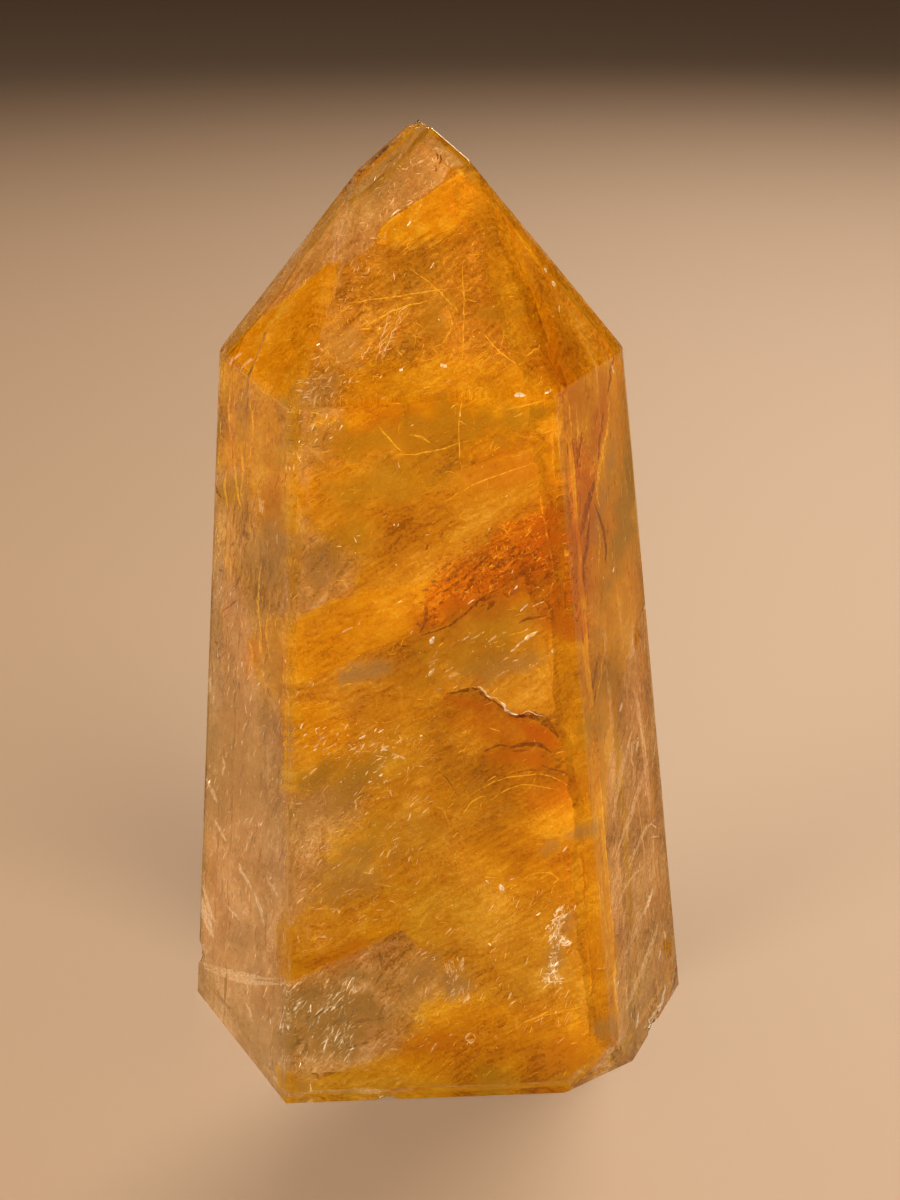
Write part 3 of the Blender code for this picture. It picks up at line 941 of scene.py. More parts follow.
# outlines that two swarms share, in the picture's points
clearLeft = [(222, 370), (288, 410), (284, 1090), (200, 960)]
clearRight = [(640, 640), (678, 970), (660, 1020), (618, 1035), (604, 850)]
rightOxide = [(556, 470), (594, 480), (586, 540), (592, 620), (560, 650)]
wholeTip = [(330, 270), (440, 200), (480, 200), (555, 330), (550, 400), (295, 405)]
# swarms named Sparks and Glints are painted glints: bright flakes put where light sparkles
flakeSwarms = [
    ("crescents", "goldDustAndGlint", frontTip,
     {"outline": [(385, 310), (412, 310), (405, 362), (382, 362)], "depth": (1.2, 1.8), "count": 22,
      "length": (0.5, 2.0), "width": (0.08, 0.2), "slope": 58.0, "spread": 8.0, "bend": 0.15}),
    ("leftSplinters", "frost", left,
     {"outline": clearLeft, "depth": (0.8, 4.0), "count": 900, "length": (0.2, 2.0), "width": (0.06, 0.4),
      "slope": 62.0, "spread": 24.0, "bend": 0.1}),
    ("rightSplinters", "frost", right,
     {"outline": clearRight, "depth": (0.8, 4.0), "count": 500, "length": (0.2, 2.4), "width": (0.06, 0.4),
      "slope": 64.0, "spread": 18.0, "bend": 0.1}),
    ("frontSplinters", "frost", front,
     {"outline": [(290, 700), (440, 740), (420, 900), (300, 960)], "depth": (0.8, 3.0), "count": 560,
      "length": (0.15, 1.6), "width": (0.05, 0.35), "slope": 40.0, "spread": 24.0, "bend": 0.1}),
    ("whiteFeather", "paleSplinterAndGlint", front,
     {"outline": [(561, 903), (576, 906), (560, 930), (572, 944), (556, 952), (563, 984), (543, 982),
                  (552, 948), (546, 930)], "depth": (0.7, 1.4), "count": 360, "length": (0.1, 1.3),
      "width": (0.06, 0.4), "slope": 58.0, "spread": 34.0, "bend": 0.1}),
    ("lowerFeathers", "frost", front,
     {"outline": [(300, 980), (400, 960), (520, 880), (590, 900), (570, 1040), (300, 1060)],
      "depth": (1.0, 4.0), "count": 480, "length": (0.15, 2.0), "width": (0.06, 0.4), "slope": 54.0,
      "spread": 20.0, "bend": 0.1}),
    ("lowSplinters", "paleSplinterAndGlint", front,
     {"outline": [(286, 985), (360, 975), (352, 1062), (286, 1066)], "depth": (0.8, 2.4), "count": 320,
      "length": (0.3, 2.4), "width": (0.08, 0.4), "slope": 58.0, "spread": 16.0, "bend": 0.06}),
    ("milkFeather", "mistAndGlint", front,
     {"outline": [(444, 962), (464, 956), (470, 1000), (450, 1004)], "depth": (0.8, 1.8), "count": 90,
      "length": (0.3, 1.6), "width": (0.1, 0.5), "slope": 76.0, "spread": 14.0, "bend": 0.06}),
    ("upperShades", "crackGrey", front,
     {"outline": [(292, 418), (322, 412), (340, 424), (326, 440), (318, 462), (292, 474)],
      "depth": (0.9, 2.6), "count": 80, "length": (0.3, 1.8), "width": (0.1, 0.5), "slope": 40.0,
      "spread": 24.0, "bend": 0.06}),
    ("windowShades", "crackGrey", front,
     {"outline": [(292, 536), (346, 530), (330, 590), (292, 604)], "depth": (0.9, 2.6), "count": 36,
      "length": (0.4, 2.2), "width": (0.2, 0.8), "slope": 60.0, "spread": 24.0, "bend": 0.06}),
    ("upperSparks", "paleSplinterAndGlint", front,
     {"outline": [(292, 412), (344, 410), (352, 440), (322, 450), (306, 470), (292, 466)],
      "depth": (0.7, 1.6), "count": 40, "length": (0.1, 0.9), "width": (0.06, 0.26), "slope": 40.0,
      "spread": 24.0, "bend": 0.06}),
    ("lowLeftSparks", "paleSplinterAndGlint", front,
     {"outline": [(298, 722), (425, 735), (400, 806), (298, 806)], "depth": (0.7, 1.8), "count": 130,
      "length": (0.1, 1.0), "width": (0.08, 0.4), "slope": 40.0, "spread": 34.0, "bend": 0.06}),
    ("frontSparks", "paleSplinterAndGlint", front,
     {"outline": [(292, 420), (555, 400), (600, 700), (612, 1080), (295, 1090)], "depth": (0.6, 1.6),
      "count": 170, "length": (0.08, 0.7), "width": (0.08, 0.3), "slope": 40.0, "spread": 40.0,
      "bend": 0.06}),
    ("tipSparks", "paleSplinterAndGlint", frontTip,
     {"outline": wholeTip, "depth": (0.6, 1.4), "count": 90, "length": (0.08, 0.7), "width": (0.08, 0.26),
      "slope": 40.0, "spread": 40.0, "bend": 0.06}),
    ("leftSparks", "paleSplinterAndGlint", left,
     {"outline": clearLeft, "depth": (0.7, 2.4), "count": 260, "length": (0.1, 1.2), "width": (0.08, 0.4),
      "slope": 62.0, "spread": 24.0, "bend": 0.06}),
    ("rightSparks", "paleSplinterAndGlint", right,
     {"outline": [(570, 400), (622, 360), (650, 620), (678, 970), (650, 1030), (616, 1040)],
      "depth": (0.7, 2.0), "count": 120, "length": (0.1, 1.0), "width": (0.08, 0.3), "slope": 66.0,
      "spread": 24.0, "bend": 0.06}),
    ("rightFibres", "goldDustAndGlint", right,
     {"outline": [(556, 396), (622, 354), (646, 600), (606, 820), (596, 900)], "depth": (0.6, 1.6),
      "count": 260, "length": (0.2, 2.6), "width": (0.06, 0.26), "slope": 84.0, "spread": 10.0,
      "bend": 0.05}),
    ("rightOchre", "ochre", right,
     {"outline": [(560, 400), (620, 360), (640, 600), (600, 760)], "depth": (0.7, 2.0), "count": 300,
      "length": (0.2, 2.4), "width": (0.08, 0.4), "slope": 84.0, "spread": 12.0, "bend": 0.05}),
    ("leftFibres", "goldDustAndGlint", left,
     {"outline": [(222, 370), (288, 410), (286, 680), (212, 600)], "depth": (0.6, 1.6), "count": 420,
      "length": (0.2, 2.2), "width": (0.06, 0.26), "slope": 74.0, "spread": 16.0, "bend": 0.08}),
    ("leftOchre", "ochre", left,
     {"outline": [(222, 370), (288, 410), (286, 560), (216, 500)], "depth": (0.7, 2.0), "count": 200,
      "length": (0.2, 2.0), "width": (0.08, 0.4), "slope": 74.0, "spread": 20.0, "bend": 0.05}),
    ("rightTipFibres", "goldDustAndGlint", rightTip,
     {"outline": [(472, 174), (616, 346), (552, 386)], "depth": (0.6, 1.6), "count": 220,
      "length": (0.2, 1.6), "width": (0.06, 0.24), "slope": -50.0, "spread": 30.0, "bend": 0.08}),
    ("leftTipFibres", "goldDustAndGlint", leftTip,
     {"outline": [(352, 190), (290, 400), (226, 346)], "depth": (0.6, 1.6), "count": 220,
      "length": (0.2, 1.6), "width": (0.06, 0.24), "slope": 50.0, "spread": 30.0, "bend": 0.08}),
    ("cornerFrost", "mistAndGlint", frontTip,
     {"outline": [(294, 404), (300, 366), (334, 330), (372, 350), (350, 402)], "depth": (0.6, 1.4),
      "count": 170, "length": (0.1, 1.4), "width": (0.08, 0.4), "slope": 30.0, "spread": 34.0,
      "bend": 0.1}),
    ("leftDarks", "umber", left,
     {"outline": [(214, 470), (240, 470), (248, 560), (242, 690), (208, 690)], "depth": (0.7, 2.2),
      "count": 170, "length": (0.2, 2.2), "width": (0.08, 0.4), "slope": 64.0, "spread": 20.0,
      "bend": 0.12}),
    ("rightOxideGrains", "ochre", right,
     {"outline": rightOxide, "depth": (0.7, 1.6), "count": 300, "length": (0.12, 1.0),
      "width": (0.08, 0.5), "slope": 66.0, "spread": 40.0, "bend": 0.1}),
    ("rightOxideSparks", "goldDustAndGlint", right,
     {"outline": rightOxide, "depth": (0.6, 1.2), "count": 130, "length": (0.1, 0.8),
      "width": (0.06, 0.26), "slope": 60.0, "spread": 50.0, "bend": 0.1}),
    ("lowShades", "crackGrey", front,
     {"outline": [(286, 990), (392, 950), (400, 1040), (286, 1066)], "depth": (1.0, 2.6), "count": 130,
      "length": (0.6, 3.2), "width": (0.3, 1.2), "slope": 54.0, "spread": 24.0, "bend": 0.06}),
    ("leftShades", "crackGrey", left,
     {"outline": [(216, 420), (246, 420), (284, 700), (284, 1080), (200, 960)], "depth": (1.0, 3.6),
      "count": 320, "length": (0.6, 4.0), "width": (0.2, 0.9), "slope": 74.0, "spread": 14.0,
      "bend": 0.06}),
    ("rightShades", "crackGrey", right,
     {"outline": clearRight, "depth": (1.0, 3.6), "count": 160, "length": (0.6, 4.0), "width": (0.2, 0.9),
      "slope": 66.0, "spread": 12.0, "bend": 0.06}),
    ("rightStreaks", "mistAndGlint", right,
     {"outline": [(644, 640), (678, 970), (660, 1020), (618, 1035), (604, 850)], "depth": (0.8, 3.0),
      "count": 150, "length": (1.0, 6.0), "width": (0.08, 0.6), "slope": 66.0, "spread": 7.0,
      "bend": 0.04}),
    ("oliveFeathers", "frost", front,
     {"outline": [(420, 660), (545, 590), (560, 660), (430, 700)], "depth": (0.8, 2.5), "count": 60,
      "length": (0.2, 2.0), "width": (0.1, 0.6), "slope": 38.0, "spread": 12.0, "bend": 0.08}),
    ("upperGlints", "goldDustAndGlint", frontTip,
     {"outline": wholeTip, "depth": (0.6, 1.4), "count": 500, "length": (0.15, 1.6), "width": (0.05, 0.2),
      "slope": 40.0, "spread": 40.0, "bend": 0.12}),
    ("bodyGlints", "goldDustAndGlint", front,
     {"outline": [(292, 410), (555, 400), (600, 700), (612, 1080), (295, 1095)], "depth": (0.6, 1.6),
      "count": 1300, "length": (0.15, 1.8), "width": (0.05, 0.2), "slope": 34.0, "spread": 28.0,
      "bend": 0.12}),
    ("tipFrost", "frost", frontTip,
     {"outline": [(420, 132), (452, 160), (430, 200), (380, 250), (326, 360), (334, 300), (376, 184)],
      "depth": (0.6, 1.6), "count": 260, "length": (0.15, 1.2), "width": (0.05, 0.3), "slope": 50.0,
      "spread": 40.0, "bend": 0.1}),
    ("rustStreaks", "rust", right,
     {"outline": [(575, 400), (600, 380), (612, 540), (596, 640), (570, 640)], "depth": (0.8, 2.0),
      "count": 90, "length": (0.6, 5.0), "width": (0.05, 0.25), "slope": 84.0, "spread": 5.0,
      "bend": 0.03}),
    ("oxideShades", "rust", front,
     {"outline": [(420, 642), (426, 600), (470, 575), (520, 575), (545, 530), (592, 540), (588, 640),
                  (552, 640), (540, 590), (470, 612)], "depth": (1.0, 2.0), "count": 80,
      "length": (0.3, 1.8), "width": (0.2, 0.9), "slope": 40.0, "spread": 40.0, "bend": 0.1}),
    ("oxideGrains", "ochre", front,
     {"outline": [(415, 642), (422, 590), (455, 545), (510, 520), (560, 480), (592, 560), (588, 640),
                  (552, 640), (548, 578), (470, 612)], "depth": (0.9, 2.0), "count": 800,
      "length": (0.12, 0.9), "width": (0.1, 0.6), "slope": 30.0, "spread": 40.0, "bend": 0.1}),
    ("oxideSparks", "goldDustAndGlint", front,
     {"outline": [(440, 600), (470, 560), (510, 520), (556, 500), (592, 560), (588, 640), (552, 640),
                  (528, 578)], "depth": (0.7, 1.2), "count": 420, "length": (0.1, 0.9),
      "width": (0.06, 0.3), "slope": 30.0, "spread": 50.0, "bend": 0.1}),
]
farFacets = (("rightBack", rightBack, 34.0), ("back", back, 34.0), ("leftBack", leftBack, 34.0),
             ("rightBackTip", rightBackTip, 10.0), ("backTip", backTip, 8.0),
             ("leftBackTip", leftBackTip, 11.0))
farSwarms = {
    # finish, flakes to a mm of the facet's half height, and greatest length in mm
    "Splinters": ("frost", 24, 2.2),
    # painted glints
    "Glints": ("goldDustAndGlint", 30, 1.8),
    "Rust": ("rust", 9, 1.6),
}
for number, (name, side, reach) in enumerate(farFacets):
    for kind, (finish, crowd, longest) in farSwarms.items():
        flakeSwarms.append((name + kind, finish, side, {
            "outline": rectangle(13, reach, -reach), "depth": (0.6, 2.4), "count": round(crowd * reach),
            "length": (0.2, longest), "width": (0.05, 0.35), "slope": 40.0 + 12.0 * number,
            "spread": 30.0, "bend": 0.1,
        }))
print("stage: flakes")
for swarm in flakeSwarms:
    makeFlakes(*swarm)

# cracks with a painted shadow below, threads, painted highlights and painted glints, as narrow bands that
# follow a path
def smoothPath(points, steps):
    # a smooth curve through the points, which may hold any count of numbers
    path = []
    last = len(points) - 1
    for index in range(last):
        before, start = points[max(0, index - 1)], points[index]
        end, after = points[index + 1], points[min(last, index + 2)]
        for step in range(steps):
            t = step / steps
            path.append([
                0.5 * (2.0 * b + (c - a) * t + (2.0 * a - 5.0 * b + 4.0 * c - d) * t * t
                       + (3.0 * b - a - 3.0 * c + d) * t ** 3)
                for a, b, c, d in zip(before, start, end, after)
            ])
    path.append(list(points[last]))
    return path


bandShape = {
    "steps": 6,             # between two points of a path
    "taper": 0.8,           # below 1.0 the ends are blunter
    "tipStep": 0.15,        # steps by which the taper starts before the band, so its tips keep a width
    "widthWaves": 2.3,      # how quickly the width varies along a band, to a mm
    "pathWaves": 1.3,       # how quickly the path strays
    "rimShift": 3.0,        # how differently the two rims vary
    "apart": 9.7,           # keeps the noise of one band from the next one's
    "bulge": 0.25,          # how far the middle rises, as a share of the width
    "shallowest": 0.35,     # mm under the polish, for the path
    "trim": 0.25,           # mm under the polish, for the rims
}


def makeBands(name, finish, side, bands, ragged=0.5, wobble=0.12):
    # bands: (width in mm, depth in mm, path in the side's points); each one tapers to both ends, its
    # width varies by the share ragged and its path strays by wobble mm
    place, pointsPerMm, _ = side
    tipStep = bandShape["tipStep"]
    bm = bmesh.new()
    bodyLayer = bm.verts.layers.float.new("body")
    for number, (width, depth, points) in enumerate(bands):
        path = smoothPath(points, bandShape["steps"])
        count = len(path) - 1
        strip = bmesh.ops.create_grid(bm, x_segments=count, y_segments=2, size=0.5)
        for vert in strip["verts"]:
            index = round((vert.co.x + 0.5) * count)
            here = path[index]
            before, after = path[max(0, index - 1)], path[min(count, index + 1)]
            along = Vector((after[0] - before[0], after[1] - before[1])).normalized()
            aside = Vector((-along.y, along.x))
            seed = Vector((here[0] / pointsPerMm, here[1] / pointsPerMm, number * bandShape["apart"]))
            taper = math.sin(math.pi * (index + tipStep) / (count + 2.0 * tipStep)) ** bandShape["taper"]
            rim = Vector((0.0, 0.0, vert.co.y * bandShape["rimShift"]))
            rough = noise.noise(seed * bandShape["widthWaves"] + rim)
            reach = width * taper * (1.0 + ragged * rough)
            body = 1.0 - abs(vert.co.y) * 2.0       # 1.0 along the middle, 0.0 at the rims
            vert[bodyLayer] = body
            stray = wobble * noise.noise(seed * bandShape["pathWaves"])
            shift = aside * (vert.co.y * reach + stray) * pointsPerMm
            bulge = bandShape["bulge"] * width * body
            deep = max(bandShape["shallowest"], depth - bulge)
            vert.co = place(here[0] + shift.x, here[1] + shift.y, deep)
    trimToStone(bm, bandShape["trim"])
    finishPiece(name, bm, flakeMaterials[finish])


print("stage: cracks and threads")
makeBands("crackShadow", "crackShade", front, [
    (0.5, 1.25, [(446, 694), (462, 691), (476, 690), (488, 698), (502, 706)]),
    (0.5, 1.25, [(498, 704), (508, 711), (518, 716), (532, 716)]),
    (1.1, 1.25, [(516, 716), (530, 715), (542, 718), (550, 726), (559, 738)]),
    (0.6, 1.4, [(508, 748), (522, 745), (540, 745), (552, 753)]),
    (0.22, 1.5, [(511, 752), (520, 751), (530, 750)]), (0.25, 1.5, [(484, 752), (496, 746), (512, 746)]),
    (0.22, 1.3, [(396, 644), (404, 646), (412, 646)]),
])

crescents = []
for row in range(7):                    # two uneven columns of little arcs, one under the other
    for x, y in ((404 - 3.0 * row, 312 + 7.0 * row), (391 - 1.6 * row, 316 + 6.4 * row)):
        arc = [(x - 4, y + 9), (x - 4, y + 2), (x, y - 4), (x + 6, y - 7)]
        crescents.append((0.13, 0.8, arc))
makeBands("crescentArcs", "mistAndGlint", frontTip, crescents, ragged=0.8, wobble=0.25)

# painted highlight: the bright rim along the crack
makeBands("crackPaintedHighlight", "paleSplinterAndGlint", front, [
    (0.26, 1.0, [(474, 688), (480, 688), (484, 691), (486, 696), (493, 698), (500, 701)]),
    (0.34, 1.0, [(499, 701), (503, 703), (506, 709), (512, 713), (519, 715)]),
    (0.12, 1.0, [(519, 713), (534, 712), (545, 718)]),
], ragged=0.9, wobble=0.3)

makeBands("oxideEdges", "rust", front, [
    (0.35, 1.3, [(500, 588), (512, 580), (526, 572), (545, 564), (551, 550)]),
    (0.3, 1.3, [(416, 637), (440, 630), (458, 620), (482, 598), (500, 588)]),
    (0.55, 1.3, [(425, 603), (426, 616), (420, 632)]),
    (0.3, 1.3, [(546, 500), (550, 540), (556, 580), (560, 630), (559, 650)]),
    (0.45, 1.3, [(442, 568), (447, 565), (452, 563)]), (0.35, 1.3, [(431, 582), (436, 581)]),
    (0.3, 1.3, [(425, 550), (429, 545)]), (0.3, 1.3, [(439, 538), (443, 533)]),
    (0.4, 1.3, [(545, 600), (552, 612), (556, 628)]), (0.35, 1.3, [(518, 624), (530, 618), (548, 616)]),
    (0.18, 1.2, [(462, 193), (458, 206), (453, 220)]), (0.15, 1.6, [(437, 770), (448, 780), (460, 800)]),
    (0.22, 1.6, [(540, 765), (562, 772), (590, 782)]), (0.15, 1.6, [(500, 778), (530, 770), (570, 772)]),
])

makeBands("tipScratch", "rust", frontTip, [
    (0.22, 0.7, [(436, 152), (438, 156), (437, 160)]), (0.2, 0.7, [(440, 154), (441, 160), (439, 166)]),
    (0.2, 0.7, [(434, 165), (436, 168), (435, 172)]),
])

makeBands("rightThreads", "rust", right, [
    (0.36, 1.0, [(614, 356), (612, 366), (610, 378), (607, 396)]),
    (0.3, 1.0, [(604, 410), (600, 440), (598, 462)]),
    (0.6, 0.9, [(594, 478), (592, 490), (588, 505), (583, 525), (581, 535)]),
    (0.3, 1.0, [(594, 503), (600, 518), (606, 545), (606, 565)]),
    (0.5, 0.9, [(590, 515), (586, 550), (583, 580), (584, 600)]),
    (0.3, 1.0, [(580, 500), (578, 540), (573, 580), (572, 610)]),
    (0.3, 1.2, [(596, 690), (592, 712), (588, 735)]), (0.3, 1.2, [(600, 650), (594, 680), (588, 705)]),
    (0.24, 1.0, [(582, 430), (580, 450), (577, 470)]), (0.3, 0.8, [(676, 950), (676, 975), (668, 1000)]),
])

makeBands("goldThreads", "goldDustAndGlint", front, [
    (0.26, 1.0, [(540, 495), (544, 520), (550, 550), (557, 590)]),
    (0.19, 1.0, [(462, 396), (459, 430), (461, 470)]), (0.22, 1.1, [(377, 424), (390, 440), (402, 452)]),
    (0.32, 1.1, [(410, 434), (422, 438), (432, 444)]), (0.19, 1.1, [(395, 455), (430, 452), (470, 440)]),
    (0.22, 1.1, [(505, 410), (530, 404), (548, 400)]), (0.16, 1.1, [(440, 505), (480, 482), (540, 462)]),
    (0.19, 1.4, [(470, 795), (500, 780), (545, 775), (575, 790)]),
    (0.19, 1.4, [(490, 800), (520, 785), (560, 790)]), (0.26, 1.4, [(462, 815), (474, 800), (486, 796)]),
    (0.19, 1.4, [(520, 880), (545, 872), (566, 884)]),
    (0.19, 1.4, [(505, 1035), (535, 1018), (590, 1005)]),
    (0.26, 1.0, [(524, 1024), (540, 1016), (550, 1012)]),
    (0.22, 1.0, [(436, 806), (444, 812), (450, 826)]),
])

makeBands("tipThreads", "goldDustAndGlint", frontTip, [
    (0.22, 1.0, [(550, 318), (548, 332), (541, 340), (532, 352), (523, 360), (513, 376)]),
    (0.18, 1.0, [(347, 303), (400, 296), (459, 287)]), (0.18, 1.1, [(462, 262), (464, 310), (462, 366)]),
    (0.22, 1.1, [(360, 330), (390, 312), (430, 300)]), (0.18, 1.1, [(410, 268), (440, 292), (458, 312)]),
    (0.22, 1.1, [(430, 350), (445, 340), (452, 322), (446, 305)]),
    (0.18, 1.0, [(480, 330), (500, 352), (520, 366)]), (0.18, 1.0, [(500, 290), (506, 320), (500, 350)]),
])

makeBands("rightGoldThreads", "goldDustAndGlint", right, [
    (0.36, 0.9, [(559, 398), (558, 440), (561, 480)]), (0.32, 0.9, [(568, 396), (571, 430), (571, 462)]),
    (0.26, 0.9, [(576, 410), (578, 430), (577, 448)]), (0.3, 0.9, [(563, 400), (565, 424), (564, 440)]),
    (0.16, 0.9, [(588, 415), (587, 425), (585, 432)]), (0.22, 0.9, [(560, 482), (566, 479), (573, 478)]),
    (0.45, 1.0, [(609, 402), (608, 425), (601, 462), (597, 490), (599, 508)]),
    (0.16, 1.0, [(596, 520), (600, 540), (598, 580)]), (0.16, 1.0, [(604, 650), (601, 675), (596, 700)]),
])

# painted glints: white reflections curving along the left facet's edge, drawn as bands
makeBands("leftPaintedGlintCurves", "mistAndGlint", left, [
    (0.4, 1.0, [(209, 694), (210, 684), (211, 676)]), (0.5, 1.0, [(206, 778), (213, 792), (217, 803)]),
    (0.9, 1.0, [(201, 896), (204, 912), (208, 924), (214, 938)]),
    (0.4, 1.0, [(203, 884), (208, 906), (216, 926)]), (0.45, 1.0, [(238, 862), (244, 876), (252, 889)]),
    (0.4, 1.0, [(254, 892), (260, 908), (264, 925)]),
    (0.6, 1.2, [(200, 962), (222, 970), (250, 976), (278, 980)]),
    (0.8, 1.6, [(202, 966), (230, 977), (256, 982), (280, 985)]),
    (0.45, 1.2, [(214, 818), (222, 834), (226, 842)]), (0.35, 1.0, [(226, 905), (233, 912), (240, 920)]),
    (0.35, 1.0, [(266, 876), (272, 886), (278, 896)]), (0.55, 1.0, [(258, 498), (261, 506), (262, 514)]),
    (0.4, 1.0, [(230, 366), (234, 358), (238, 354)]), (0.4, 1.0, [(240, 372), (245, 363), (250, 358)]),
    (0.35, 1.0, [(222, 756), (224, 766), (222, 776)]),
    (0.35, 1.2, [(246, 1002), (250, 1012), (252, 1022)]),
])

makeBands("leftThreads", "goldDustAndGlint", left, [
    (0.32, 1.0, [(226, 470), (225, 490), (228, 510)]), (0.32, 1.0, [(234, 460), (236, 485), (241, 510)]),
    (0.26, 1.0, [(240, 440), (243, 470), (240, 500)]), (0.26, 1.0, [(250, 400), (253, 430), (249, 460)]),
    (0.32, 1.0, [(248, 640), (252, 655), (248, 672)]), (0.26, 1.0, [(262, 560), (258, 600), (262, 640)]),
    (0.22, 1.0, [(232, 380), (229, 410), (231, 440)]), (0.22, 1.0, [(270, 600), (266, 630), (270, 660)]),
])

makeBands("leftSpots", "rust", left, [
    (0.35, 1.0, [(215, 484), (217, 492), (222, 498)]), (0.3, 1.0, [(219, 569), (223, 572)]),
    (0.35, 1.0, [(234, 588), (238, 582), (240, 576)]), (0.25, 1.0, [(215, 641), (218, 645)]),
    (0.22, 1.2, [(222, 612), (230, 606), (238, 600)]), (0.25, 1.2, [(218, 660), (226, 652)]),
])

# painted glints: bright white curves and specks in the clear lower right
makeBands("rightPaintedGlints", "paleSplinterAndGlint", right, [
    (0.34, 0.8, [(665, 985), (662, 1002), (652, 1024)]), (0.4, 0.8, [(652, 888), (649, 902), (648, 908)]),
    (0.34, 0.8, [(649, 904), (646, 908), (645, 916)]), (0.24, 0.9, [(648, 896), (651, 900)]),
    (0.24, 0.8, [(646, 603), (644, 610)]), (0.28, 0.9, [(638, 740), (636, 752)]),
    (0.24, 0.9, [(622, 702), (620, 712)]), (0.24, 0.8, [(612, 364), (614, 374)]),
    (0.3, 0.8, [(664, 930), (666, 940)]), (0.24, 0.8, [(640, 1012), (638, 1020), (636, 1028)]),
    (0.22, 0.8, [(661, 950), (659, 960)]), (0.22, 0.9, [(618, 980), (616, 990)]),
    (0.2, 0.9, [(650, 824), (657, 828)]), (0.2, 0.9, [(650, 838), (660, 836)]),
    (0.1, 0.9, [(619, 952), (615, 968), (615, 987), (617, 1010)]),
])

makeBands("rightFeathers", "mistAndGlint", right, [
    (0.4, 1.4, [(614, 862), (628, 820), (640, 780)]), (0.34, 1.4, [(622, 850), (636, 800), (648, 760)]),
    (0.4, 1.4, [(628, 870), (642, 836), (656, 818)]), (0.34, 1.4, [(616, 910), (630, 880), (650, 862)]),
    (0.6, 1.4, [(626, 1010), (642, 970), (660, 920)]), (0.4, 1.4, [(624, 960), (636, 930), (648, 902)]),
    (0.7, 1.6, [(634, 690), (641, 720), (646, 770), (650, 812)]),
    (0.5, 1.6, [(612, 820), (622, 770), (632, 730)]), (0.24, 1.4, [(640, 720), (643, 740), (647, 760)]),
    (0.24, 1.4, [(630, 740), (632, 760), (634, 780)]),
])

makeBands("ring", "frost", front, [
    (0.3, 0.9, [(476, 1038), (471, 1043), (466, 1038), (471, 1033), (476, 1038)]),
], ragged=0.2, wobble=0.0)

# painted glints: small bright specks across the front
makeBands("frontPaintedGlints", "paleSplinterAndGlint", front, [
    (0.6, 0.9, [(524, 640), (530, 636), (537, 631)]), (0.28, 1.0, [(510, 652), (518, 646), (526, 639)]),
    (0.45, 0.9, [(552, 653), (556, 649)]), (0.5, 0.9, [(430, 644), (435, 637)]),
    (0.45, 0.9, [(428, 676), (434, 668)]), (0.25, 0.9, [(520, 612), (528, 603)]),
    (0.22, 0.9, [(514, 590), (518, 585)]), (0.18, 0.9, [(467, 604), (475, 599)]),
    (0.22, 0.9, [(342, 633), (346, 630), (353, 627)]), (0.6, 0.9, [(500, 884), (502, 889), (502, 892)]),
    (0.2, 0.9, [(486, 880), (489, 884)]), (0.25, 0.9, [(562, 851), (568, 846)]),
    (0.2, 0.9, [(303, 737), (308, 733)]), (0.25, 0.9, [(359, 739), (366, 735)]),
    (0.22, 0.9, [(378, 732), (384, 729)]), (0.18, 0.9, [(283, 1048), (285, 1054)]),
    (0.2, 0.9, [(287, 660), (289, 664)]), (0.18, 0.9, [(354, 537), (357, 543)]),
    (0.2, 0.9, [(310, 1084), (311, 1092)]), (0.14, 0.9, [(398, 462), (400, 468)]),
])

# painted glints: small bright specks on the front tip facet
makeBands("tipPaintedGlints", "paleSplinterAndGlint", frontTip, [
    (0.5, 0.7, [(441, 363), (444, 366), (447, 368)]), (0.34, 0.7, [(399, 370), (403, 369)]),
    (0.5, 0.7, [(514, 394), (519, 393), (526, 394)]), (0.3, 0.7, [(407, 226), (411, 221)]),
    (0.22, 0.7, [(390, 217), (396, 212), (401, 210)]), (0.12, 0.7, [(406, 206), (413, 201)]),
    (0.12, 0.7, [(503, 246), (506, 243)]), (0.12, 0.7, [(374, 181), (376, 176)]),
    (0.14, 0.7, [(430, 269), (434, 262)]), (0.12, 0.7, [(393, 272), (395, 280)]),
])

# painted glints: small bright specks on the right tip facet
makeBands("rightTipPaintedGlints", "paleSplinterAndGlint", rightTip, [
    (0.32, 0.7, [(545, 268), (546, 273)]), (0.4, 0.7, [(552, 281), (554, 287)]),
    (0.16, 0.7, [(559, 306), (559, 312)]),
])

# floor and light
studio = {
    "floorColour": "#b8a089",
    "floorRoughness": 0.6,
    "floorGap": 0.05,       # mm, between the floor and the stone's base
    "skyColour": "#c4bdb6",
    "skyStrength": 0.45,
    "floorRadius": 2.4,     # metres, where the floor starts to curve up
    "curveRadius": 1.0,
    "wallHeight": 2.0,
    "segments": 96,         # around the floor
    "curveStep": 7.5,       # degrees between the rings of the curve
    "lampSpread": 76.0,     # degrees; the lamps' soft pools of light fade out behind the stone
    "aim": (0.0, 0.0, 0.04),
    "lamps": {
        # place in metres, width in metres, watts and colour
        "keyLamp": ((0.56, -0.66, 0.70), 0.62, 1.8, "#fff6ea"),
        "fillLamp": ((-1.02, -0.86, 0.34), 0.60, 2.4, "#fff8f0"),
        "backLamp": ((0.35, 1.00, 0.95), 0.80, 2.9, "#fff4e6"),
    },
    "exposure": -0.39,
}


def addLamp(name, place, size, power, colour):
    data = bpy.data.lights.new(name, "AREA")
    data.shape = "DISK"
    data.size = size
    data.energy = power
    data.color = hexToLinear(colour)[:3]
    data.spread = math.radians(studio["lampSpread"])
    lamp = bpy.data.objects.new(name, data)
    lamp.location = place
    aim = Vector(studio["aim"]) - Vector(place)
    lamp.rotation_euler = aim.to_track_quat("-Z", "Y").to_euler()
    bpy.context.scene.collection.objects.link(lamp)


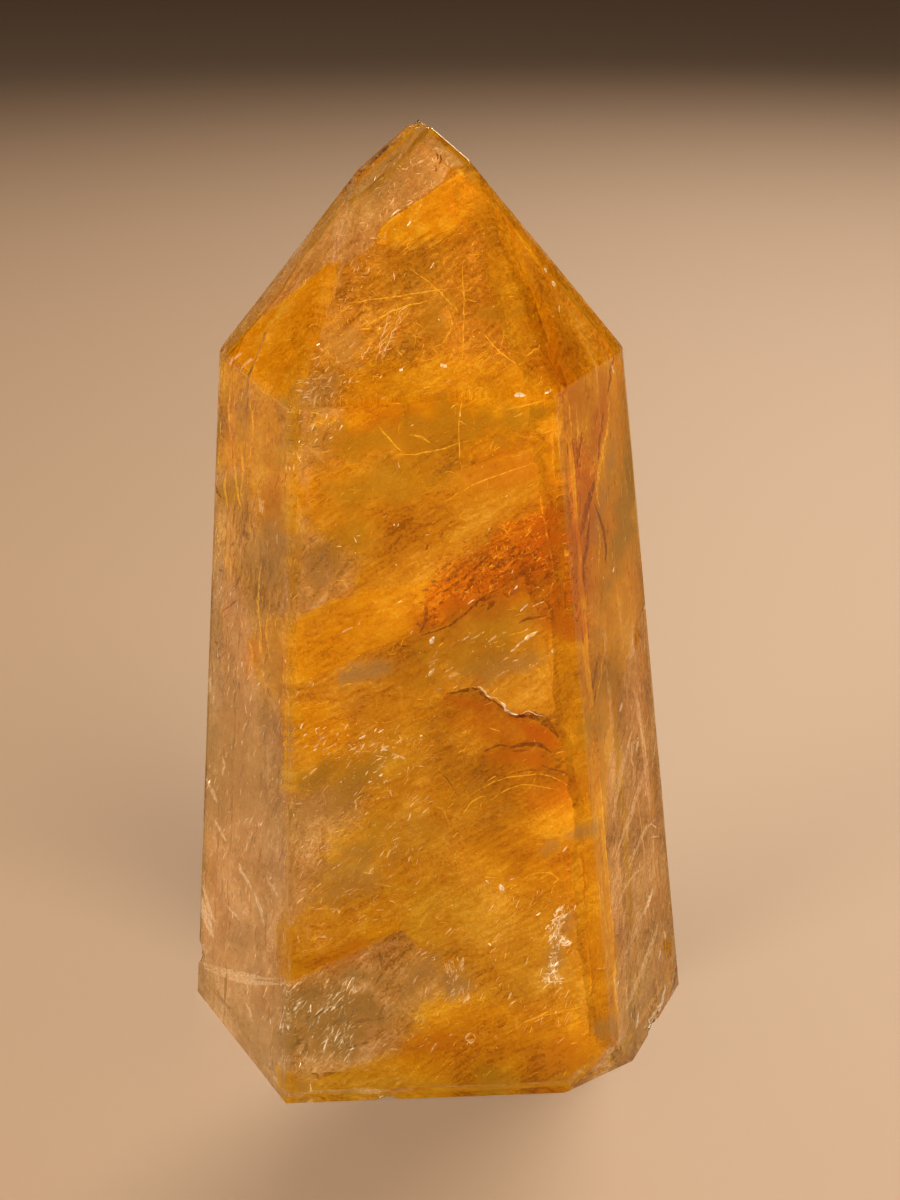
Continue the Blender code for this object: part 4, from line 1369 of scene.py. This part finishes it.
def makeFloor():     # a round floor that curves up into a wall, so that no horizon shows
    bm = bmesh.new()
    bmesh.ops.create_circle(bm, cap_ends=True, segments=studio["segments"], radius=studio["floorRadius"])
    curve = studio["curveRadius"]
    rings = []
    for step in range(1, round(90.0 / studio["curveStep"]) + 1):
        turn = math.radians(studio["curveStep"] * step)
        rings.append((math.sin(turn) * curve, (1.0 - math.cos(turn)) * curve))
    for outward, height in rings + [(curve, studio["wallHeight"])]:
        rim = [edge for edge in bm.edges if edge.is_boundary]
        for item in bmesh.ops.extrude_edge_only(bm, edges=rim)["geom"]:
            if isinstance(item, bmesh.types.BMVert):
                level = Vector((item.co.x, item.co.y, 0.0)).normalized()
                item.co = level * (studio["floorRadius"] + outward) + Vector((0.0, 0.0, height))
    mesh = bpy.data.meshes.new("floor")
    bm.to_mesh(mesh)
    bm.free()
    mesh.shade_smooth()
    material, tree = newMaterial("paleFloor")
    shader = addNode(tree, "ShaderNodeBsdfPrincipled", {
        "Base Color": hexToLinear(studio["floorColour"]), "Roughness": studio["floorRoughness"],
    })
    addNode(tree, "ShaderNodeOutputMaterial", {"Surface": shader.outputs[0]})
    mesh.materials.append(material)
    floor = bpy.data.objects.new("floor", mesh)
    bpy.context.scene.collection.objects.link(floor)
    floor.location.z = -studio["floorGap"] * mm


def makeSky():
    world = bpy.data.worlds.new("studio")
    world.use_nodes = True
    sky = world.node_tree.nodes["Background"]
    sky.inputs["Color"].default_value = hexToLinear(studio["skyColour"])
    sky.inputs["Strength"].default_value = studio["skyStrength"]
    bpy.context.scene.world = world


print("stage: studio")
makeFloor()
makeSky()
for name, lamp in studio["lamps"].items():
    addLamp(name, *lamp)
scene = bpy.context.scene
scene.view_settings.view_transform = "Standard"
scene.view_settings.look = "High Contrast"
scene.view_settings.exposure = studio["exposure"]
scene.cycles.caustics_refractive = False
scene.cycles.caustics_reflective = False
scene.cycles.use_light_tree = False     # three lamps are quicker without one
scene.cycles.max_bounces = 8
scene.cycles.transmission_bounces = 6
scene.cycles.glossy_bounces = 4
scene.cycles.diffuse_bounces = 2
scene.cycles.transparent_max_bounces = 24   # as many films as a ray may cross
